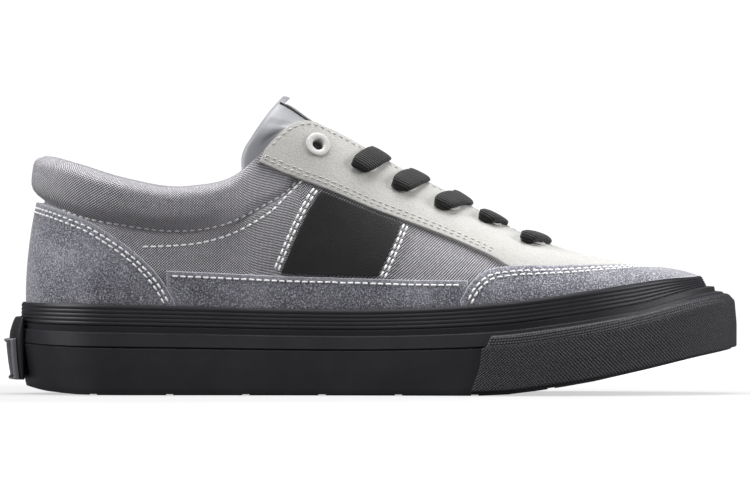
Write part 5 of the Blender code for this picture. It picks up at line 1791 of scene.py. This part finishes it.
def make_heel():
    """The strip round the back of the sole and the plain plate on it, with a raised frame whose faces are
    painted pale grey as a highlight.
    """
    ats = np.array([0.0, 0.01, 0.03, 0.08, 0.16, 0.3, 0.45, 0.6, 0.75, 0.88, 0.95, 0.985, 1.0])
    places = np.concatenate([[-0.5, -0.498, -0.49, -0.47], np.linspace(-0.44, 0.44, 60),
                             [0.47, 0.49, 0.498, 0.5]])
    outer, back = [], []
    for at in ats:
        edge = min(at, 1 - at)
        round_off = float(np.interp(edge, (0, 0.01, 0.03, 0.08), (0.35, 0.7, 0.92, 1.0)))
        height = float(read(STRIP, "height", at)) * FOXING_HEIGHT
        outer_row, back_row = [], []
        for place in places:
            ends = float(np.interp(0.5 - abs(place), (0, 0.002, 0.01, 0.03), (0.3, 0.7, 0.92, 1.0)))
            base = strip_face(place, at, 0.0)
            turn = strip_turn(place)
            inside = np.array([*(outline(turn) + outward(turn) * 0.0001), height])
            gap = np.array([*outward(turn), 0]) * OVERLAY_GAP
            outer_row.append(inside + (base - inside) * round_off * ends + gap)
            back_row.append(inside)
        outer.append(outer_row)
        back.append(back_row)
    closed_sheet("rubber_heel_strip", np.array(outer), np.array(back), BLACK_RUBBER, "black_rubber",
                 ("heel_strip",))
    plate_top = 0.63  # share of the strip's height
    span = PATCH_WIDTH / STRIP_WIDTH
    edge_near = np.array([0.0, 0.004, 0.012, 0.03, 0.055, 0.062, 0.08])
    frame_places = (0, 0.004, 0.012, 0.045, 0.055, 0.062, 0.08)
    frame_rises = (0.1, 0.6, 0.95, 1.0, 0.8, 0.55, 0.5)
    across = np.concatenate([edge_near, np.linspace(0.1, 0.9, 40), 1 - edge_near[::-1]])
    up = np.concatenate([edge_near * 1.6, np.linspace(0.16, 0.84, 14), 1 - edge_near[::-1] * 1.6])
    outer, back, rim_highlight_mask = [], [], []
    for v in up:
        outer_row, back_row, rim_highlight_row = [], [], []
        for u in across:
            near = min(u, 1 - u, v / 1.6, (1 - v) / 1.6)
            rise = float(np.interp(near, frame_places, frame_rises))
            place, at = (u - 0.5) * span, plate_top * v
            outer_row.append(strip_face(place, at, OVERLAY_GAP + SEAT_GAP / 2 + PATCH_THICKNESS * rise))
            back_row.append(strip_face(place, at, OVERLAY_GAP + SEAT_GAP / 4))
            rim_highlight_row.append(near < 0.05)
        outer.append(outer_row)
        back.append(back_row)
        rim_highlight_mask.append(rim_highlight_row)
    plate = closed_sheet("heel_plate", np.array(outer), np.array(back), [PLATE_RUBBER, PLATE_RIM_HIGHLIGHT],
                         "black_rubber", ("heel_patch",))
    # Faces of the raised frame take the painted highlight colour.
    mask = np.array(rim_highlight_mask)
    rows, columns = mask.shape
    for index in range((rows - 1) * (columns - 1)):
        i, j = divmod(index, columns - 1)
        if mask[i, j] and mask[i + 1, j + 1]:
            plate.data.polygons[index].material_index = 1


def make_footbed():
    """The drop-in footbed: cloth over foam, cupped at the heel."""
    edge = UPPER_WALL + 2 * OVERLAY_GAP
    alongs = along_of(np.linspace(0.018, 0.482, 90))
    shares = np.concatenate([[0.0, 0.004, 0.012, 0.03], np.linspace(0.06, 0.94, 34),
                             [0.97, 0.988, 0.996, 1.0]])
    top, bottom = [], []
    for along in alongs:
        ends = [feather(turn_of(along, side), edge) for side in (-1, 1)]
        thick = INSOLE_HEEL + (INSOLE_TOE - INSOLE_HEEL) * float(smooth_step(0.25, 0.7, along))
        cup = INSOLE_CUP * (1 - float(smooth_step(0.3, 0.6, along)))
        low = float(ground(along)) + OUTSOLE_THICKNESS + SEAT_GAP
        top_row, bottom_row = [], []
        for share in shares:
            x, y = ends[0] + (ends[1] - ends[0]) * share
            near = min(share, 1 - share)
            soft = 0.0012 * (1 - float(np.interp(near, (0, 0.004, 0.012, 0.03), (0.0, 0.6, 0.9, 1.0))))
            raise_edge = cup * abs(2 * share - 1) ** 3
            top_row.append([x, y, low + thick + raise_edge - soft])
            bottom_row.append([x, y, low])
        top.append(top_row)
        bottom.append(bottom_row)
    piece = closed_sheet("cloth_footbed", np.array(top), np.array(bottom), FOOTBED_CLOTH, "footbed_foam",
                         ("insole",))


def tongue_grid(columns):
    """The tongue's outer face as a fine grid, from its sewn end up."""
    steps = 32
    rows = np.array([tongue_row(at) for at in np.linspace(0, 1, steps + 1)])
    fine = []
    for at in np.linspace(0.0, 1.0, 70):
        k = min(int(at * steps), steps - 1)
        t = at * steps - k
        fine.append(smooth_path(rows[k] + (rows[k + 1] - rows[k]) * t, columns))
    return np.array(fine)


def tube(path, radius, sides=8):
    """Points and faces of a round tube along a path."""
    path = np.asarray(path, float)
    tangent = np.gradient(path, axis=0)
    tangent /= np.linalg.norm(tangent, axis=1, keepdims=True)
    up = np.array([0.1, 0.2, 1.0])
    first = np.cross(tangent, up)
    first /= np.linalg.norm(first, axis=1, keepdims=True)
    second = np.cross(tangent, first)
    radius = np.broadcast_to(radius, (len(path),))[:, None]
    rings = [path + (first * math.cos(a) + second * math.sin(a)) * radius
             for a in 2 * np.pi * np.arange(sides) / sides]
    points = np.stack(rings, axis=1).reshape(-1, 3)
    faces, _ = grid_faces(len(path), sides, join_columns=True)
    faces.append(list(range(sides)))
    faces.append([(len(path) - 1) * sides + k for k in reversed(range(sides))])
    return points, faces


def make_tongue():
    """The padded tongue, with a black cord beside its front panel that stands in for the shade in the gap
    there, a pale lining and a bare label.
    """
    columns = np.concatenate([[0.0, 0.004, 0.012], np.linspace(0.028, 0.972, 62), [0.988, 0.996, 1.0]])
    grid = tongue_grid(columns)
    normal = grid_normals(grid)
    place = 2 * columns[None, :] - 1
    rise = np.linspace(0, 1, grid.shape[0])[:, None]
    thick = TONGUE_THICKNESS * (0.35 + 0.65 * (1 - place**4)) * (0.45 + 0.55 * (1 - rise**8))
    edge = np.interp(np.minimum(columns, 1 - columns), (0, 0.004, 0.012, 0.028), (0.5, 0.25, 0.08, 0.0))
    top_edge = np.interp(1 - rise, (0, 0.006, 0.016, 0.035), (0.5, 0.25, 0.08, 0.0))
    soft = np.maximum(edge, top_edge)
    channel = dimple((np.abs(place) - 0.46) * 0.05, 0.0003, 0.0012) * (rise < 0.97)
    outer = grid - normal * (thick * soft - channel)[..., None]
    inside = grid - normal * (thick * (1 - soft))[..., None]
    piece = closed_sheet("padded_tongue", outer, inside, [SATIN, PALE_LINING], "satin_tongue", ("tongue",))
    count = (grid.shape[0] - 1) * (grid.shape[1] - 1)
    for index in range(count, 2 * count):
        piece.data.polygons[index].material_index = 1

    # The black cord beside the front panel stands in for the shade in the gap there.
    known = np.array([tongue_row(at) for at in np.linspace(0.60, 0.985, 20)])
    lift = grid_normals(known)[:, MIDDLE_POINT]
    points, faces = [], []
    for side in (-1, 1):
        path = []
        for row in known:
            length = np.linalg.norm(np.diff(row, axis=0), axis=1).sum()
            path.append(smooth_path(row, [0.5 + side * (LABEL_WIDTH / 2 + 0.0006) / length])[0])
        path = np.array(path)
        tube_points, tube_faces = tube(resample(path + lift * 0.0002, 80), 0.00042)
        start = sum(len(p) for p in points)
        faces += [[start + k for k in face] for face in tube_faces]
        points.append(tube_points)
    gap_shade_cord = as_piece("tongue_gap_shade_cord", np.concatenate(points), faces, GAP_SHADE_CORD, "black_lace")
    face_outward(gap_shade_cord)

    rows = []
    top, below = (tongue_row(at)[MIDDLE_POINT] for at in (0.96, 0.60))
    span = LABEL_LENGTH * (0.96 - 0.60) / np.linalg.norm(top - below)
    for at in np.linspace(0.96 - span, 0.96, 26):
        row = np.array(tongue_row(at))
        length = np.linalg.norm(np.diff(row, axis=0), axis=1).sum()
        half = LABEL_WIDTH / length / 2
        near = np.array([0.0, 0.006, 0.02, 0.04])
        shares = np.concatenate([near, np.linspace(0.07, 0.93, 24), 1 - near[::-1]])
        rows.append(smooth_path(row, 0.5 - half + 2 * half * shares))
    grid = np.array(rows)
    normal = grid_normals(grid)
    rise = np.interp(np.minimum(shares, 1 - shares), (0, 0.006, 0.02, 0.04), (0.3, 0.7, 0.95, 1.0))[None, :]
    ends = np.interp(np.minimum(np.arange(26), 25 - np.arange(26)), (0, 1, 2), (0.3, 0.85, 1.0))[:, None]
    lift = 2 * SEAT_GAP
    outer = grid + normal * (lift + LABEL_THICKNESS * rise * ends)[..., None]
    closed_sheet("bare_label", outer, grid + normal * lift * 0.5, LABEL_CLOTH, "white_label",
                 ("tongue_label",))


def make_rings(pairs):
    """The lacquered eyelet rings, turned smooth, each with its barrel in the hole."""
    lift = EYESTAY_GAP + OVERLAY
    top = lift + SEAT_GAP + EYELET_HEIGHT
    section = (
        (EYELET_FLANGE, lift + 0.0001),
        (EYELET_FLANGE - 0.00005, lift + 0.0004),
        (EYELET_FLANGE - 0.0003, top - 0.0004),
        (EYELET_FLANGE - 0.0009, top - 0.00025),
        (EYELET_HOLE + 0.0004, top - 0.0003),
        (EYELET_HOLE, top - 0.0006),
        (EYELET_HOLE - 0.0002, top - 0.0011),
        (EYELET_HOLE - 0.0003, -UPPER_WALL * 0.9),
        (EYELET_HOLE - 0.0001, -UPPER_WALL * 0.9),
        (EYELET_HOLE - 0.00005, lift),
    )
    sides = 40
    for number, pair in enumerate(pairs, start=1):
        for word, (centre, normal, _, _) in zip(("lateral", "medial"), pair):
            matrix = turned_frame(centre, normal)
            rings = []
            for i in range(sides):
                angle = 2 * math.pi * i / sides
                spots = [Vector((r * math.cos(angle), r * math.sin(angle), h)) for r, h in section]
                rings.append([tuple(matrix @ spot) for spot in spots])
            grid = np.array(rings)
            name = "eyelet_%s_%d" % (word, number)
            ring = grid_piece("ring_" + name, grid, RING_METAL, "coated_ring", (name,), True, True)
            face_outward(ring)


def make_laces(pairs):
    """The flat cotton laces: out of each eyelet, folded over its ring and across the throat."""
    low = EYESTAY_GAP + OVERLAY
    for number, pair in enumerate(pairs[:5], start=1):
        broad, full, hang = [LACE_LIE[word][number - 1] for word in ("wide", "thick", "hang")]
        ends = []
        for side, (centre, _, turn, drop) in zip((-1, 1), pair):
            place = (centre[0] + ORIGIN_FROM_HEEL) / SOLE_LENGTH
            lean_share = min(max((0.71 - place) / 0.10, 0.0), 1.0)
            edge = throat_turn(place + lean_share * LACE_LEAN / SOLE_LENGTH, side)
            half = []
            # Distance below the eyelet's middle, height over the upper, shares of width and thickness
            frames = (
                (0.0000, -UPPER_WALL, 0.45, 0.7),
                (0.0008, low * 0.5, 0.46, 0.7),
                (0.0024, low + 0.0010, 0.48, 0.7),
                (0.0046, low + 0.0011, 0.52, 0.8),
                (0.0064, low + 0.0013, 0.60, 1.2),
                (0.0054, low + 0.0022, 0.84, 1.5),
                (0.0032, low + 0.0023, 0.98, 1.5),
                (0.0000, low + 0.0020, 1.04, 1.3),
            )
            spots = [(1 + back / drop, lift, wide, thick) for back, lift, wide, thick in frames]
            clear = 1 - EYELET_FLANGE / drop
            spots += [(clear * 0.7, low + 0.0013, 1.0, 1.1), (0.04, low + 0.0008, 1.0, 1.0)]
            for share, lift, wide, thick in spots:
                at = edge + (turn - edge) * (share if share < 1 else 1 + (share - 1) * hang)
                point = raised(at, drop * share, lift)[0]
                half.append((point, along_throat(at, drop * share, side), wide * broad, thick * full))
            ends.append(half)
        left, right = ends[0][-1], ends[1][-1]
        middles = []
        for t in (0.25, 0.5, 0.75):
            point = left[0] + (right[0] - left[0]) * t + np.array([0.0003, 0, 0.0006]) * 4 * t * (1 - t)
            width = left[1] + (right[1] - left[1]) * t
            middles.append((point, width, broad, full))
        path = ends[0] + middles + ends[1][::-1]
        points = np.array([p[0] for p in path])
        sections = 90
        at = np.linspace(0, 1, sections)
        centres = smooth_path(points, at)
        reached = np.concatenate([[0], np.cumsum(np.linalg.norm(np.diff(points, axis=0), axis=1))])
        reached /= reached[-1]
        tangent = np.gradient(centres, axis=0)
        tangent /= np.linalg.norm(tangent, axis=1, keepdims=True)
        widths = np.array([np.interp(at, reached, [p[1][k] for p in path]) for k in range(3)]).T
        widths -= tangent * (widths * tangent).sum(1, keepdims=True)
        widths /= np.linalg.norm(widths, axis=1, keepdims=True)
        outs = np.cross(widths, tangent)
        wide = np.interp(at, reached, [p[2] for p in path]) * LACE_WIDTH / 2
        thick = np.interp(at, reached, [p[3] for p in path]) * LACE_THICKNESS / 2
        around = 28
        angles = 2 * np.pi * np.arange(around) / around
        across = np.sign(np.cos(angles)) * np.abs(np.cos(angles)) ** 0.75
        over = np.sign(np.sin(angles)) * np.abs(np.sin(angles)) ** 0.85
        grid = (
            centres[:, None]
            + widths[:, None] * (wide[:, None] * across[None])[..., None]
            + outs[:, None] * (thick[:, None] * over[None])[..., None]
        )
        piece = grid_piece("lace_bar_%d" % number, grid, LACE_CLOTH, "black_lace", ("lace_%d" % number,),
                           True)
        face_outward(piece, close_ends=True)


def make_studio():
    """A pale floor that glows for the camera, dimmer near the shoe as a painted shadow, soft lights and the
    camera.
    """
    floor_material, tree, shader = finish("pale floor", 0.9)
    shader.inputs["Specular IOR Level"].default_value = 0.1
    place = node(tree, "ShaderNodeTexCoord")
    clouds = node(tree, "ShaderNodeTexNoise", values={"Scale": 2.0}, links={0: place.outputs["Object"]})
    tree.links.new(blend_colour(tree, clouds.outputs[0], (0.15, 0.15, 0.155, 1), (0.16, 0.16, 0.165, 1)),
                   shader.inputs["Base Color"])
    # Painted floor shadow: the camera glow falls off toward the shoe.
    away = node(tree, "ShaderNodeVectorMath", operation="LENGTH", links={0: place.outputs["Object"]})
    spread = node(tree, "ShaderNodeMapRange", links={0: away.outputs["Value"]},
                  values={"From Min": PAINTED_FLOOR_SHADOW_FADE[0], "From Max": PAINTED_FLOOR_SHADOW_FADE[1], "To Min": FLOOR_GLOW_IN_PAINTED_SHADOW,
                          "To Max": 1.0})
    seen = node(tree, "ShaderNodeLightPath")
    glow = times(tree, seen.outputs["Is Camera Ray"], spread.outputs[0])
    shader.inputs["Emission Color"].default_value = (1, 1, 1, 1)
    tree.links.new(glow, shader.inputs["Emission Strength"])
    lines = (-4.0, 0.0, 4.0)
    rows = [[(x, y, 0.0) for x in lines] for y in lines]
    mesh = bpy.data.meshes.new("studio floor")
    faces, _ = grid_faces(len(lines), len(lines))
    mesh.from_pydata([tuple(p) for row in rows for p in row], [], faces)
    mesh.materials.append(floor_material)
    mesh.shade_smooth()
    floor = add_object("studio_floor", mesh)

    world = bpy.data.worlds.new("soft studio")
    world.use_nodes = True
    sky = world.node_tree
    seen = node(sky, "ShaderNodeLightPath")
    backdrop = times(sky, seen.outputs["Is Camera Ray"], 1.05 - ROOM_LIGHT)
    level = maths(sky, "ADD", backdrop, ROOM_LIGHT)
    sky.nodes["Background"].inputs["Color"].default_value = (1, 1, 1, 1)
    sky.links.new(level, sky.nodes["Background"].inputs["Strength"])
    bpy.context.scene.world = world

    # Name, place, the point it faces, size in metres and watts
    lamps = (
        ("top_softbox", (0.12, 0.10, 1.25), (0.12, 0.0, 0.05), 0.8, 23.5),
        ("rear_softbox", (-1.1, -0.40, 1.0), (0.1, 0.0, 0.05), 0.8, 24.0),
        ("toe_softbox", (1.45, -0.35, 0.5), (0.1, 0.0, 0.05), 0.8, 19.0),
        ("front_softbox", (-0.1, -1.6, 0.9), (0.1, 0.0, 0.05), 1.0, 2.0),
    )
    for name, stand, target, size, power in lamps:
        light = bpy.data.lights.new(name, "AREA")
        light.energy = power
        light.size = size
        lamp = add_object(name, light)
        lamp.location = stand
        lamp.rotation_euler = (Vector(target) - Vector(stand)).to_track_quat("-Z", "Y").to_euler()

    camera_data = bpy.data.cameras.new("studio_camera")
    camera_data.lens = 900
    camera_data.sensor_width = 36
    camera_data.clip_end = 60
    camera = add_object("studio_camera", camera_data)
    distance = VIEW_WIDTH * camera_data.lens / camera_data.sensor_width
    tilt = math.radians(VIEW_TILT)
    aim = Vector(VIEW_CENTRE)
    camera.location = aim + Vector((0, -math.cos(tilt), math.sin(tilt))) * distance
    camera.rotation_euler = (aim - camera.location).to_track_quat("-Z", "Y").to_euler()
    bpy.context.scene.camera = camera
    bpy.context.scene.view_settings.view_transform = "Standard"


def dress():
    """Builds every dressed piece over the frame."""
    make_studio()
    pairs = eyelet_frames()
    cutter = eyelet_cutter(pairs)
    make_upper(cutter)
    make_panels(cutter)
    make_collar_stitches()
    bpy.data.objects.remove(cutter, do_unlink=True)
    make_foxing()
    make_bumper()
    make_heel()
    make_footbed()
    make_tongue()
    make_rings(pairs)
    make_laces(pairs)
    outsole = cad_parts["outsole"]
    outsole.data.materials.clear()
    outsole.data.materials.append(TREAD_RUBBER)


dress()
